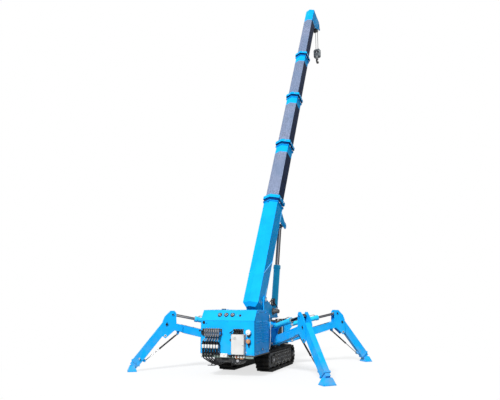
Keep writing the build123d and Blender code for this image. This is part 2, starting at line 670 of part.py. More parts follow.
for number in range(1, SECTION_COUNT + 1):
    inset = (number - 1) * INSET_STEP
    last = number == SECTION_COUNT
    tail_at = BOOM_TAIL if number == 1 else TAIL_1_AT + (number - 2) * TAIL_STEP + (number - 1) * STROKE
    mouth_at = HEAD_AT if last else collar_place(number)
    with BuildPart() as section:
        with BuildSketch(boom_section(tail_at)):
            Polygon(*boom_hexagon(inset), align=None)
            Polygon(*boom_hexagon(inset + BOOM_WALL), align=None, mode=Mode.SUBTRACT)
        extrude(amount=mouth_at - tail_at)
        if not last:
            for start, end, proud in COLLAR_STEPS:
                with BuildSketch(boom_section(mouth_at - start)):
                    Polygon(*boom_hexagon(inset - proud), align=None)
                    Polygon(*boom_hexagon(inset + INSET_STEP - BORE_GAP), align=None, mode=Mode.SUBTRACT)
                extrude(amount=start - end)
        if number > 1:
            with BuildSketch(boom_section(tail_at)):
                Polygon(*boom_hexagon(inset - SECTION_GAP + BORE_GAP), align=None)
                Polygon(*boom_hexagon(inset + BOOM_WALL), align=None, mode=Mode.SUBTRACT)
            extrude(amount=PAD_LENGTH)
        if number == 1:
            with BuildSketch(boom_section(tail_at)):
                Polygon(*boom_hexagon(0), align=None)
            extrude(amount=-TAIL_CAP, taper=TAIL_TAPER)
            with BuildSketch(boom_section(tail_at + BOOM_WALL)):
                Polygon(*boom_hexagon(BOOM_WALL), align=None)
            extrude(amount=-TAIL_CAP, taper=TAIL_TAPER, mode=Mode.SUBTRACT)
            with BuildSketch(foot_plane):
                Circle(FOOT_PIN_RADIUS * 1.8)
            extrude(amount=boom_side_room - BORE_GAP, both=True)
            with BuildSketch(foot_plane):
                Circle(FOOT_PIN_RADIUS + PIN_GAP)
            extrude(amount=BOOM_WIDTH, both=True, mode=Mode.SUBTRACT)
            for side in (-1, 1):
                eye_side = side * (EYE_PLATE_GAP + EYE_PLATE_THICKNESS / 2)
                with BuildSketch(boom_side.offset(eye_side)):
                    with Locations((LUFF_EYE_AT, -LUFF_EYE_BELOW)):
                        Circle(EYE_PLATE_RADIUS)
                    Polygon(
                        (LUFF_EYE_AT - EYE_PLATE_RADIUS, -LUFF_EYE_BELOW),
                        (LUFF_EYE_AT - EYE_PLATE_RADIUS, -shoulder_1),
                        (LUFF_EYE_AT + EYE_PLATE_RADIUS * 4, -shoulder_1),
                        (LUFF_EYE_AT + EYE_PLATE_RADIUS * 3, -shoulder_1 - EYE_PLATE_SHOULDER),
                        (LUFF_EYE_AT + EYE_PLATE_RADIUS, -LUFF_EYE_BELOW),
                        align=None,
                    )
                extrude(amount=EYE_PLATE_THICKNESS / 2, both=True)
                with BuildSketch(boom_side.offset(side * (EYE_PLATE_GAP + EYE_PLATE_THICKNESS))):
                    with Locations((LUFF_EYE_AT, -LUFF_EYE_BELOW)):
                        RegularPolygon(LUFF_PIN_RADIUS + PIN_HEAD_PROUD, 6)
                extrude(amount=side * PIN_HEAD_HEIGHT)
            with BuildSketch(boom_section(LUFF_EYE_AT - EYE_PLATE_RADIUS * 2)):
                Polygon(*boom_hexagon(BOOM_WALL), align=None)
            extrude(amount=EYE_PLATE_RADIUS * 7, mode=Mode.SUBTRACT)
        if last:
            half, shoulder, ridge = boom_outline(inset)
            for side in (-1, 1):
                plate_side = side * (half - HEAD_PLATE_THICKNESS / 2)
                with BuildSketch(boom_side.offset(plate_side)):
                    with Locations(sheave_at):
                        Circle(HEAD_NOSE_RADIUS)
                    Polygon(
                        (HEAD_AT - HEAD_LENGTH, 0),
                        (HEAD_AT, 0),
                        (HEAD_AT, -shoulder),
                        (HEAD_AT + HEAD_NOSE_REACH, -HEAD_NOSE_BELOW),
                        (sheave_at[0], sheave_at[1] - HEAD_NOSE_RADIUS),
                        (sheave_at[0] - HEAD_NOSE_RADIUS, sheave_at[1]),
                        (HEAD_AT - HEAD_LENGTH, -ridge),
                        align=None,
                    )
                extrude(amount=HEAD_PLATE_THICKNESS / 2, both=True)
            with BuildSketch(boom_side):
                with Locations(sheave_at):
                    Circle(SHEAVE_PIN_RADIUS)
            extrude(amount=half, both=True)
            with BuildSketch(boom_section(HEAD_AT - HEAD_PLATE_THICKNESS)):
                Polygon(*boom_hexagon(inset), align=None)
            extrude(amount=HEAD_PLATE_THICKNESS)
    keep(section.part, f"boom_{number}")


def groove_profile(radius, hole):
    """Half section of a sheave with a V groove round its rim: distance from the pin, place along it."""
    return (
        (hole, -SHEAVE_WIDTH / 2),
        (radius, -SHEAVE_WIDTH / 2),
        (radius - GROOVE_DEPTH, 0),
        (radius, SHEAVE_WIDTH / 2),
        (hole, SHEAVE_WIDTH / 2),
    )


# How far inside a sheave's rim the middle of the rope runs
flank_angle = atan2(SHEAVE_WIDTH / 2, GROOVE_DEPTH)
rope_seat = GROOVE_DEPTH - (ROPE_RADIUS + PIN_GAP) / sin(flank_angle)
sheave_centre = boom_side.from_local_coords((*sheave_at, 0))
with BuildPart() as head_sheaves:
    with BuildSketch(Plane(origin=sheave_centre, x_dir=boom_side.x_dir, z_dir=-boom_side.y_dir)):
        with Locations((0, SHEAVE_SPACING / 2), (0, -SHEAVE_SPACING / 2)):
            Polygon(*groove_profile(SHEAVE_RADIUS, SHEAVE_PIN_RADIUS + PIN_GAP), align=None)
    revolve(axis=Axis(sheave_centre, boom_side.z_dir))
keep(head_sheaves.part, "head_sheaves")


# Hook block: it hangs straight down on two falls from the front of the head sheaves
hang = upright_plane(sheave_centre.X, sheave_centre.Y, SLEW_REST)
rope_u = SHEAVE_RADIUS - rope_seat
block_sheave_radius = SHEAVE_SPACING / 2 + rope_seat
block_sheave_z = sheave_centre.Z - ROPE_LENGTH
block_top = block_sheave_z + block_sheave_radius + BLOCK_MARGIN
block_bottom = block_top - BLOCK_HEIGHT
block_plane = Plane(
    origin=hang.from_local_coords((rope_u, 0, 0)),
    x_dir=-hang.z_dir,
    z_dir=hang.x_dir,
)
rope_plane = Plane(origin=block_plane.origin, x_dir=block_plane.x_dir, z_dir=(0, 0, 1))
with BuildPart() as hoist_rope:
    with BuildSketch(rope_plane.offset(block_sheave_z)):
        with GridLocations(SHEAVE_SPACING, 1, 2, 1):
            Circle(ROPE_RADIUS)
    extrude(amount=ROPE_LENGTH)
keep(hoist_rope.part, "hoist_rope")

cheek_at = SHEAVE_WIDTH / 2 + RUNNING_GAP
with BuildPart() as hook_block:
    for place in (-cheek_at - BLOCK_CHEEK, cheek_at):
        with BuildSketch(block_plane.offset(place)):
            Polygon(
                (BLOCK_CHAMFER - BLOCK_WIDTH / 2, block_top),
                (BLOCK_WIDTH / 2 - BLOCK_CHAMFER, block_top),
                (BLOCK_WIDTH / 2, block_top - BLOCK_CHAMFER),
                (BLOCK_WIDTH / 2, block_bottom + BLOCK_CHAMFER),
                (BLOCK_WIDTH / 2 - BLOCK_CHAMFER, block_bottom),
                (BLOCK_CHAMFER - BLOCK_WIDTH / 2, block_bottom),
                (-BLOCK_WIDTH / 2, block_bottom + BLOCK_CHAMFER),
                (-BLOCK_WIDTH / 2, block_top - BLOCK_CHAMFER),
                align=None,
            )
        extrude(amount=BLOCK_CHEEK)
    with BuildSketch(block_plane.offset(-cheek_at)):
        with Locations((0, block_bottom + CROSSHEAD_HEIGHT / 2)):
            Rectangle(BLOCK_WIDTH - 2 * BLOCK_CHAMFER, CROSSHEAD_HEIGHT)
    extrude(amount=2 * cheek_at)
    with BuildSketch(block_plane.offset(-cheek_at)):
        with Locations((0, block_sheave_z)):
            Circle(SHEAVE_PIN_RADIUS)
    extrude(amount=2 * cheek_at)
    sheave_middle = block_plane.from_local_coords((0, block_sheave_z, 0))
    with BuildSketch(Plane(origin=sheave_middle, x_dir=block_plane.x_dir, z_dir=-block_plane.y_dir)):
        Polygon(*groove_profile(block_sheave_radius, 0), align=None)
    revolve(axis=Axis(sheave_middle, block_plane.z_dir))
keep(hook_block.part, "hook_block")

bowl_z = block_bottom - HOOK_SHANK_LENGTH - HOOK_BOWL_RADIUS
hook_outer = HOOK_BOWL_RADIUS + HOOK_BODY
with BuildPart() as hook:
    with BuildSketch(hang):
        with Locations((rope_u, bowl_z)):
            Circle(hook_outer)
            Circle(HOOK_BOWL_RADIUS, mode=Mode.SUBTRACT)
            Polygon(
                (0, 0),
                (2 * hook_outer * cos(radians(THROAT_FROM)), 2 * hook_outer * sin(radians(THROAT_FROM))),
                (2 * hook_outer * cos(radians(THROAT_TO)), 2 * hook_outer * sin(radians(THROAT_TO))),
                align=None,
                mode=Mode.SUBTRACT,
            )
        with Locations((rope_u, block_bottom - HOOK_SHANK_LENGTH / 2)):
            Rectangle(HOOK_SHANK, HOOK_SHANK_LENGTH)
    extrude(amount=HOOK_THICKNESS / 2, both=True)
keep(hook.part, "hook")


# Luffing cylinder, between the table's nose and the plates under the boom
eye_point = slew_plane.to_local_coords(boom_side.from_local_coords((LUFF_EYE_AT, -LUFF_EYE_BELOW, 0)))
luff_run_u = eye_point.X - LUFF_PIN_U
luff_run_z = eye_point.Y - LUFF_PIN_Z
luff_length = hypot(luff_run_u, luff_run_z)
luff_plane = turned(slew_plane, LUFF_PIN_U, LUFF_PIN_Z, degrees(atan2(luff_run_z, luff_run_u)))


def cylinder_barrel(plane, radius, bore, neck, start, length, eye_radius, eye_width, pin_radius):
    """A cylinder barrel along a plane's X: its eye on the plane's origin, a neck, and the tube."""
    mouth = Plane(origin=plane.from_local_coords((start, 0, 0)), x_dir=plane.z_dir, z_dir=plane.x_dir)
    with BuildPart() as barrel:
        with BuildSketch(mouth.offset(neck - start)):
            Circle(radius)
        extrude(amount=length - neck)
        with BuildSketch(plane):
            Circle(eye_radius)
            with Locations(((neck + NECK_OVERLAP) / 2, 0)):
                Rectangle(neck + NECK_OVERLAP, 2 * eye_radius)
        extrude(amount=eye_width / 2, both=True)
        with BuildSketch(mouth):
            Circle(bore)
        extrude(amount=length, mode=Mode.SUBTRACT)
        with BuildSketch(plane):
            Circle(pin_radius + PIN_GAP)
        extrude(amount=eye_width, both=True, mode=Mode.SUBTRACT)
    return barrel.part


def cylinder_rod(plane, radius, start, length, eye_radius, eye_width, pin_radius, pin_width):
    """A cylinder rod along a plane's X, from inside the barrel to the eye and pin at its end."""
    inner = Plane(origin=plane.from_local_coords((start, 0, 0)), x_dir=plane.z_dir, z_dir=plane.x_dir)
    with BuildPart() as rod:
        with BuildSketch(inner):
            Circle(radius)
        extrude(amount=length - start - eye_radius / 2)
        with BuildSketch(plane):
            with Locations((length, 0)):
                Circle(eye_radius)
        extrude(amount=eye_width / 2, both=True)
        if pin_width > eye_width:
            with BuildSketch(plane):
                with Locations((length, 0)):
                    Circle(pin_radius)
            extrude(amount=pin_width / 2, both=True)
    return rod.part


keep(
    cylinder_barrel(
        luff_plane,
        LUFF_BARREL_RADIUS,
        LUFF_ROD_RADIUS + BORE_GAP,
        LUFF_NECK,
        LUFF_BORE_START,
        LUFF_BARREL_LENGTH,
        LUFF_EYE_RADIUS,
        LUFF_EYE_WIDTH,
        LUFF_PIN_RADIUS,
    ),
    "luff_barrel",
)
keep(
    cylinder_rod(
        luff_plane,
        LUFF_ROD_RADIUS,
        LUFF_ROD_START,
        luff_length,
        LUFF_ROD_EYE_RADIUS,
        LUFF_ROD_EYE_WIDTH,
        LUFF_PIN_RADIUS,
        2 * (EYE_PLATE_GAP - BORE_GAP),
    ),
    "luff_rod",
)


# Outriggers
UPPER_PLATE_SIDE = ARM_WIDTH / 2 + PLATE / 2
knee_centre = (KNEE_R, KNEE_Z)
lug_side = STRUT_EYE_WIDTH / 2 + BORE_GAP + PLATE / 2
lift_angle = degrees(atan2(ROD_PIN_Z - LIFT_PIN_Z, ROD_PIN_R - LIFT_PIN_R))
lift_length = hypot(ROD_PIN_Z - LIFT_PIN_Z, ROD_PIN_R - LIFT_PIN_R)
for name, post_x, post_y, heading in OUTRIGGERS:
    middle = upright_plane(post_x, post_y, heading)
    post_bottom = DECK_Z + EAR_THICKNESS + BORE_GAP
    post_top = UPPER_EAR_Z - BORE_GAP

    with BuildPart() as swivel:
        with BuildSketch(middle):
            with Locations((0, (post_bottom + post_top) / 2)):
                Rectangle(2 * POST_HALF_LENGTH, post_top - post_bottom)
        extrude(amount=ARM_WIDTH / 2 + PLATE + BORE_GAP, both=True)
        with BuildSketch(Plane.XY.offset(DECK_Z)):
            with Locations((post_x, post_y)):
                Circle(POST_PIN_RADIUS)
        extrude(amount=UPPER_EAR_Z + EAR_THICKNESS / 2 - DECK_Z)
        for side in (-1, 1):
            with BuildSketch(upright_plane(post_x, post_y, heading, side * (UPPER_PLATE_SIDE + BORE_GAP))):
                Polygon(
                    (0, post_bottom),
                    (ARM_PIN_R + SMALL_PIN_RADIUS * 1.5, post_bottom),
                    (ARM_PIN_R + SMALL_PIN_RADIUS * 1.5, ARM_PIN_Z + SMALL_PIN_RADIUS),
                    (POST_HALF_LENGTH * 1.4, (post_bottom + post_top) / 2),
                    (LIFT_PIN_R + SMALL_PIN_RADIUS * 1.5, LIFT_PIN_Z - SMALL_PIN_RADIUS),
                    (LIFT_PIN_R + SMALL_PIN_RADIUS, LIFT_PIN_Z + SMALL_PIN_RADIUS * 1.5),
                    (0, post_top),
                    align=None,
                )
            extrude(amount=PLATE / 2, both=True)
        with BuildSketch(middle):
            with Locations((ARM_PIN_R, ARM_PIN_Z), (LIFT_PIN_R, LIFT_PIN_Z)):
                Circle(SMALL_PIN_RADIUS)
        extrude(amount=ARM_WIDTH / 2 + PLATE + BORE_GAP, both=True)
    keep(swivel.part, f"{name}_swivel")

    with BuildPart() as arm:
        with BuildSketch(middle):
            Polygon(
                (ARM_PIN_R, ARM_PIN_Z - SMALL_PIN_RADIUS * 1.6),
                (ARM_END_R, ARM_END_Z - ARM_KNEE_HEIGHT / 2),
                (ARM_END_R, ARM_END_Z + ARM_KNEE_HEIGHT / 2),
                (ARM_PIN_R + ARM_BASE_HEIGHT, ARM_PIN_Z + ARM_BASE_HEIGHT),
                (ARM_PIN_R, ARM_PIN_Z + SMALL_PIN_RADIUS * 1.6),
                align=None,
            )
            with Locations((ARM_PIN_R, ARM_PIN_Z)):
                Circle(SMALL_PIN_RADIUS * 1.6)
        extrude(amount=ARM_WIDTH / 2, both=True)
        with BuildSketch(middle):
            with Locations((ARM_PIN_R, ARM_PIN_Z)):
                Circle(SMALL_PIN_RADIUS + PIN_GAP)
        extrude(amount=ARM_WIDTH, both=True, mode=Mode.SUBTRACT)
        for side in (-1, 1):
            with BuildSketch(upright_plane(post_x, post_y, heading, side * UPPER_PLATE_SIDE)):
                Polygon(*KNEE_PLATE_OUTLINE, align=None)
                with Locations((LOCK_HOLE_R, LOCK_HOLE_Z)):
                    Circle(LOCK_HOLE_RADIUS, mode=Mode.SUBTRACT)
            extrude(amount=PLATE / 2, both=True)
        with BuildSketch(middle):
            with Locations(knee_centre):
                Circle(KNEE_PIN_RADIUS)
        extrude(amount=ARM_WIDTH / 2 + PLATE / 2, both=True)
        for side in (-1, 1):
            with BuildSketch(middle.offset(side * (ARM_WIDTH / 2 + PLATE))):
                with Locations(knee_centre):
                    RegularPolygon(KNEE_PIN_RADIUS + PIN_HEAD_PROUD, 6)
                with Locations((ROD_PIN_R, ROD_PIN_Z)):
                    RegularPolygon(SMALL_PIN_RADIUS + PIN_HEAD_PROUD, 6)
            extrude(amount=side * PIN_HEAD_HEIGHT)
        for side in (-1, 1):
            with BuildSketch(upright_plane(post_x, post_y, heading, side * lug_side)):
                Polygon(
                    (STRUT_ARM_R - STRUT_EYE_RADIUS, STRUT_ARM_Z - STRUT_EYE_RADIUS),
                    (STRUT_ARM_R + STRUT_EYE_RADIUS, STRUT_ARM_Z - STRUT_EYE_RADIUS),
                    (STRUT_ARM_R + 2 * STRUT_EYE_RADIUS, ARM_END_Z - ARM_KNEE_HEIGHT / 2 + PLATE),
                    (STRUT_ARM_R - 2 * STRUT_EYE_RADIUS, ARM_END_Z - ARM_KNEE_HEIGHT / 2 + PLATE),
                    align=None,
                )
            extrude(amount=PLATE / 2, both=True)
        with BuildSketch(middle):
            with Locations((STRUT_ARM_R, STRUT_ARM_Z)):
                Circle(STRUT_PIN_RADIUS)
        extrude(amount=lug_side, both=True)
    keep(arm.part, f"{name}_arm")

    lift_plane = turned(middle, LIFT_PIN_R, LIFT_PIN_Z, lift_angle)
    keep(
        cylinder_barrel(
            lift_plane,
            LIFT_BARREL_RADIUS,
            LIFT_ROD_RADIUS + BORE_GAP,
            LIFT_NECK,
            LIFT_BORE_START,
            LIFT_BARREL_LENGTH,
            LIFT_EYE_RADIUS,
            LIFT_EYE_WIDTH,
            SMALL_PIN_RADIUS,
        ),
        f"{name}_lift_barrel",
    )
    keep(
        cylinder_rod(
            lift_plane,
            LIFT_ROD_RADIUS,
            LIFT_ROD_START,
            lift_length,
            LIFT_EYE_RADIUS,
            LIFT_EYE_WIDTH,
            SMALL_PIN_RADIUS,
            ARM_WIDTH - 2 * BORE_GAP,
        ),
        f"{name}_lift_rod",
    )

    leg_plane = turned(middle, KNEE_R, KNEE_Z, LEG_ANGLE)
    leg_across = Plane(origin=leg_plane.origin, x_dir=leg_plane.z_dir, z_dir=leg_plane.x_dir)
    with BuildPart() as leg:
        with BuildSketch(leg_plane):
            Circle(LEG_DEPTH / 2)
            with Locations((LEG_LENGTH / 2, 0)):
                Rectangle(LEG_LENGTH, LEG_DEPTH)
        extrude(amount=LEG_WIDTH / 2, both=True)
        with BuildSketch(leg_across.offset(LEG_LENGTH - LEG_COLLAR_LENGTH)):
            Rectangle(LEG_WIDTH + 2 * LEG_COLLAR_PROUD, LEG_DEPTH + 2 * LEG_COLLAR_PROUD)
        extrude(amount=LEG_COLLAR_LENGTH)
        with BuildSketch(leg_across.offset(LEG_BORE_START)):
            Rectangle(LEG_WIDTH - 2 * LEG_WALL, LEG_DEPTH - 2 * LEG_WALL)
        extrude(amount=LEG_LENGTH, mode=Mode.SUBTRACT)
        with BuildSketch(leg_plane):
            Circle(KNEE_PIN_RADIUS + PIN_GAP)
        extrude(amount=LEG_WIDTH, both=True, mode=Mode.SUBTRACT)
        for side in (-1, 1):
            with BuildSketch(leg_plane.offset(side * lug_side)):
                Polygon(
                    (STRUT_LEG_AT - STRUT_EYE_RADIUS, STRUT_LEG_OFF - STRUT_EYE_RADIUS),
                    (STRUT_LEG_AT + STRUT_EYE_RADIUS, STRUT_LEG_OFF - STRUT_EYE_RADIUS),
                    (STRUT_LEG_AT + 2 * STRUT_EYE_RADIUS, LEG_WALL / 2 - LEG_DEPTH / 2),
                    (STRUT_LEG_AT - 2 * STRUT_EYE_RADIUS, LEG_WALL / 2 - LEG_DEPTH / 2),
                    align=None,
                )
            extrude(amount=PLATE / 2, both=True)
            with BuildSketch(leg_plane.offset(side * (lug_side + PLATE / 2))):
                with Locations((STRUT_LEG_AT, STRUT_LEG_OFF)):
                    RegularPolygon(STRUT_PIN_RADIUS + PIN_HEAD_PROUD / 3, 6)
            extrude(amount=side * PIN_HEAD_HEIGHT / 2)
    keep(leg.part, f"{name}_leg")

    ball = leg_plane.from_local_coords((FOOT_BALL_AT, 0, 0))
    ground = Plane(origin=(ball.X, ball.Y, 0), x_dir=middle.x_dir, z_dir=(0, 0, 1))
    with BuildPart() as foot:
        with BuildSketch(leg_across.offset(INNER_LEG_START)):
            Rectangle(LEG_WIDTH - 2 * LEG_WALL - 2 * BORE_GAP, LEG_DEPTH - 2 * LEG_WALL - 2 * BORE_GAP)
        extrude(amount=INNER_LEG_END - INNER_LEG_START)
        with BuildSketch(ground):
            Rectangle(FOOT_LENGTH, FOOT_WIDTH)
        extrude(amount=FOOT_PLATE)
        with BuildSketch(ground.offset(FOOT_PLATE)):
            Rectangle(FOOT_LENGTH - 2 * FOOT_EDGE, FOOT_WIDTH - 2 * FOOT_EDGE)
        extrude(amount=FOOT_HEIGHT - FOOT_PLATE, taper=FOOT_TAPER)
        with BuildSketch(turned(middle, middle.to_local_coords(ball).X, FOOT_PIN_HEIGHT, 0)):
            RegularPolygon(FOOT_BOLT_RADIUS, 6)
        extrude(amount=LEG_WIDTH / 2 + LEG_COLLAR_PROUD, both=True)
    keep(foot.part, f"{name}_foot")

    arm_anchor = (STRUT_ARM_R, STRUT_ARM_Z)
    leg_anchor = middle.to_local_coords(leg_plane.from_local_coords((STRUT_LEG_AT, STRUT_LEG_OFF, 0)))
    strut_run = (leg_anchor.X - arm_anchor[0], leg_anchor.Y - arm_anchor[1])
    strut_plane = turned(middle, *arm_anchor, degrees(atan2(strut_run[1], strut_run[0])))
    keep(
        cylinder_barrel(
            strut_plane,
            STRUT_BARREL_RADIUS,
            STRUT_ROD_RADIUS + BORE_GAP,
            STRUT_NECK,
            STRUT_BORE_START,
            STRUT_BARREL_LENGTH,
            STRUT_EYE_RADIUS,
            STRUT_EYE_WIDTH,
            STRUT_PIN_RADIUS,
        ),
        f"{name}_strut_barrel",
    )
    keep(
        cylinder_rod(
            strut_plane,
            STRUT_ROD_RADIUS,
            STRUT_ROD_START,
            hypot(*strut_run),
            STRUT_EYE_RADIUS,
            STRUT_EYE_WIDTH,
            STRUT_PIN_RADIUS,
            STRUT_EYE_WIDTH,
        ),
        f"{name}_strut_rod",
    )
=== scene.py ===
"""Looks of the compact tracked spider crane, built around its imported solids.

Lengths in the calls are millimetres, and each piece is made in metres.
"""
from math import atan2, cos, degrees, hypot, pi, radians, sin, tan

import bmesh
import bpy
from mathutils import Matrix, Vector


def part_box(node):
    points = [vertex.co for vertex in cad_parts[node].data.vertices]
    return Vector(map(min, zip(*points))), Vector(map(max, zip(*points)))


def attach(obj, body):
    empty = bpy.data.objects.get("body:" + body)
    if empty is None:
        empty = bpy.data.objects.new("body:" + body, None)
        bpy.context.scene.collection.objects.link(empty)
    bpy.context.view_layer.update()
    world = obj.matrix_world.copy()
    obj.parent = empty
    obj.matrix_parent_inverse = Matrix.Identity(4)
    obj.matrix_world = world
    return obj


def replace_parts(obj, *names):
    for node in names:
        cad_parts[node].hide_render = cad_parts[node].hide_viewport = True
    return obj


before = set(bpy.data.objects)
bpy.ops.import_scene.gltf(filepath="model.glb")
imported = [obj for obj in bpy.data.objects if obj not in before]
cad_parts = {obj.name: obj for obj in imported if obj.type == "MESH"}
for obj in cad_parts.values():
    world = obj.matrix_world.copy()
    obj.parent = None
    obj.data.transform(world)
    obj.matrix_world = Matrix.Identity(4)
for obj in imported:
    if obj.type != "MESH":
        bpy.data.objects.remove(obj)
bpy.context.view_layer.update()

MM = 0.001
OUTRIGGERS = (
    ("front_left", 205.0, 330.0, 47.6),
    ("front_right", 205.0, -330.0, -47.6),
    ("rear_left", -410.0, 330.0, 126.4),
    ("rear_right", -410.0, -330.0, -135.3),
)
SIDES = (-1, 1)
FACING = {-1: "-Y", 1: "Y"}
SLEW = -5.0
LUFF = 65.0
FOOT_PIN = (-194.0, 1023.0)
LUFF_PIN = (487.0, 800.0)
AXIS_ABOVE_PIN = 64.0
TRACK_SIDE = 370.0
HUBS = (-545.9, 475.9)
HUB_HEIGHT = 159.0
COLLAR_1 = 1910.0
STEP = 1316.0
COLLAR_PAINT = 290.0
SECTIONS = 5
BOOM_HALF = 131.0
BOOM_INSET = 8.0
HEAD_AT = 7441.0
SHEAVE = (HEAD_AT - 120.0, -350.0)
HOOD_REAR = -1368.0
HOOD_FRONT = -783.0
HOOD_SIDE = 400.0
HOOD_TOP = 877.0
SLOPE_LOW = 741.0
SLOPE_DEPTH = 93.0
KNEE = (1026.0, 660.0)
LEG_ANGLE = -51.6
ARM_PIN = (90.0, 385.0)
LIFT_PIN = (90.0, 635.0)
ROD_PIN = (940.0, 802.0)
STRUT_PIN = (850.0, 524.0)
LEG_STRUT_PIN = (595.0, 88.0)
LEG_COLLAR = 691.0
LEG_SET_PIN = 610.0
LEG_TO_BALL = 765.0
PLATE_FACE = 57.0
WINCH = (100.0, 842.0)


# Frames: each turns local millimetres into metres of the whole machine
def axes(origin, x_dir, z_dir):
    x_dir = Vector(x_dir).normalized()
    z_dir = Vector(z_dir).normalized()
    y_dir = z_dir.cross(x_dir)
    turn = Matrix((x_dir, y_dir, z_dir)).transposed().to_4x4()
    return Matrix.Scale(MM, 4) @ Matrix.Translation(Vector(origin)) @ turn


def upright(x, y, heading):
    """Local X along the heading, Y to its left, Z up."""
    h = radians(heading)
    return axes((x, y, 0), (cos(h), sin(h), 0), (0, 0, 1))


def tilted(base, x, z, angle):
    """A frame whose origin lies in the base's XZ plane and which is turned up by an angle."""
    a = radians(angle)
    turn = Matrix(((cos(a), 0, -sin(a), x), (0, 1, 0, 0), (sin(a), 0, cos(a), z), (0, 0, 0, 1)))
    return base @ turn


WORLD = Matrix.Scale(MM, 4)
TURRET = upright(0, 0, SLEW)
BOOM_PIN = tilted(TURRET, FOOT_PIN[0], FOOT_PIN[1], LUFF)
BOOM = BOOM_PIN @ Matrix.Translation((0, 0, AXIS_ABOVE_PIN))


# Camera
yaw, pitch = radians(21.534), radians(11.658)
forward = Vector((cos(yaw) * cos(pitch), sin(yaw) * cos(pitch), sin(pitch)))
rightward = Vector((sin(yaw), -cos(yaw), 0))
upward = rightward.cross(forward)
camera_data = bpy.data.cameras.new("view")
camera_data.sensor_width = 36.0
camera_data.lens = 35.64
camera_data.clip_end = 200.0
camera = bpy.data.objects.new("view", camera_data)
camera.matrix_world = Matrix.Translation((-7.7045, -2.836, 0.98625)) @ Matrix(
    (rightward, upward, -forward)
).transposed().to_4x4()
bpy.context.scene.collection.objects.link(camera)
bpy.context.scene.camera = camera
bpy.context.scene.view_settings.view_transform = "Standard"


# Materials
class Nodes:
    """A short way to write a node tree."""

    def __init__(self, tree):
        self.tree = tree

    def add(self, kind, links=(), **settings):
        node = self.tree.nodes.new(kind)
        for key, value in settings.items():
            setattr(node, key, value)
        for socket, value in links:
            self.feed(node.inputs[socket], value)
        return node

    def feed(self, socket, value):
        if isinstance(value, bpy.types.NodeSocket):
            self.tree.links.new(value, socket)
        else:
            socket.default_value = value

    def math(self, kind, a, b=0.0):
        return self.add("ShaderNodeMath", ((0, a), (1, b)), operation=kind).outputs[0]

    def vector(self, kind, *values):
        return self.add("ShaderNodeVectorMath", enumerate(values), operation=kind).outputs

    def seen(self):
        """1 for rays from the eye, also by way of gloss or glass, and 0 for light that bounces."""
        path = self.add("ShaderNodeLightPath").outputs
        first = self.math("MAXIMUM", path["Is Camera Ray"], path["Is Glossy Ray"])
        return self.math("MAXIMUM", first, path["Is Transmission Ray"])


class Finish(Nodes):
    """The tree of one material, with its shader and the object's own coordinates."""

    def __init__(self, name):
        self.material = bpy.data.materials.new(name)
        self.material.use_nodes = True
        super().__init__(self.material.node_tree)
        self.shader = next(n for n in self.tree.nodes if n.type == "BSDF_PRINCIPLED")
        self.coords = self.add("ShaderNodeTexCoord").outputs["Object"]

    def noise(self, scale, detail=3.0, stretch=(1, 1, 1), rotation=(0, 0, 0)):
        turned = (("Vector", self.coords), ("Scale", stretch), ("Rotation", rotation))
        at = self.add("ShaderNodeMapping", turned).outputs[0]
        look = (("Vector", at), ("Scale", scale), ("Detail", detail))
        return self.add("ShaderNodeTexNoise", look).outputs["Fac"]

    def steps(self, value, low, high, out_low=0.0, out_high=1.0):
        ends = (("From Min", low), ("From Max", high), ("To Min", out_low), ("To Max", out_high))
        return self.add("ShaderNodeMapRange", (("Value", value), *ends)).outputs[0]

    def mix(self, factor, a, b):
        node = self.add("ShaderNodeMix", data_type="RGBA")
        self.feed(node.inputs["Factor"], factor)
        self.feed(node.inputs["A"], a)
        self.feed(node.inputs["B"], b)
        return node.outputs["Result"]

    def along(self, origin, direction):
        """Distance of the shaded point from an origin along a direction, in metres."""
        moved = self.vector("SUBTRACT", self.coords, tuple(origin))[0]
        return self.vector("DOT_PRODUCT", moved, tuple(direction))["Value"]

    def softened(self, radius):
        """The face's direction with its edges rounded off."""
        return self.add("ShaderNodeBevel", (("Radius", radius),), samples=4).outputs[0]

    def bump(self, height, strength, distance=0.001, rounded=0.0):
        look = (("Height", height), ("Strength", strength), ("Distance", distance))
        node = self.add("ShaderNodeBump", look)
        if rounded:
            self.feed(node.inputs["Normal"], self.softened(rounded))
        self.feed(self.shader.inputs["Normal"], node.outputs[0])

    def edge_wear(self, radius, low, high):
        """Near 1 at sharp edges, 0 on flats."""
        flat = self.add("ShaderNodeNewGeometry").outputs["Normal"]
        return self.steps(self.vector("DOT_PRODUCT", self.softened(radius), flat)["Value"], high, low)


def shade(colour, factor):
    return tuple(min(1.0, c * factor) for c in colour[:3]) + (1.0,)


def rgb(*values):
    return tuple(values) + (1.0,)


DUST = rgb(0.30, 0.27, 0.23)


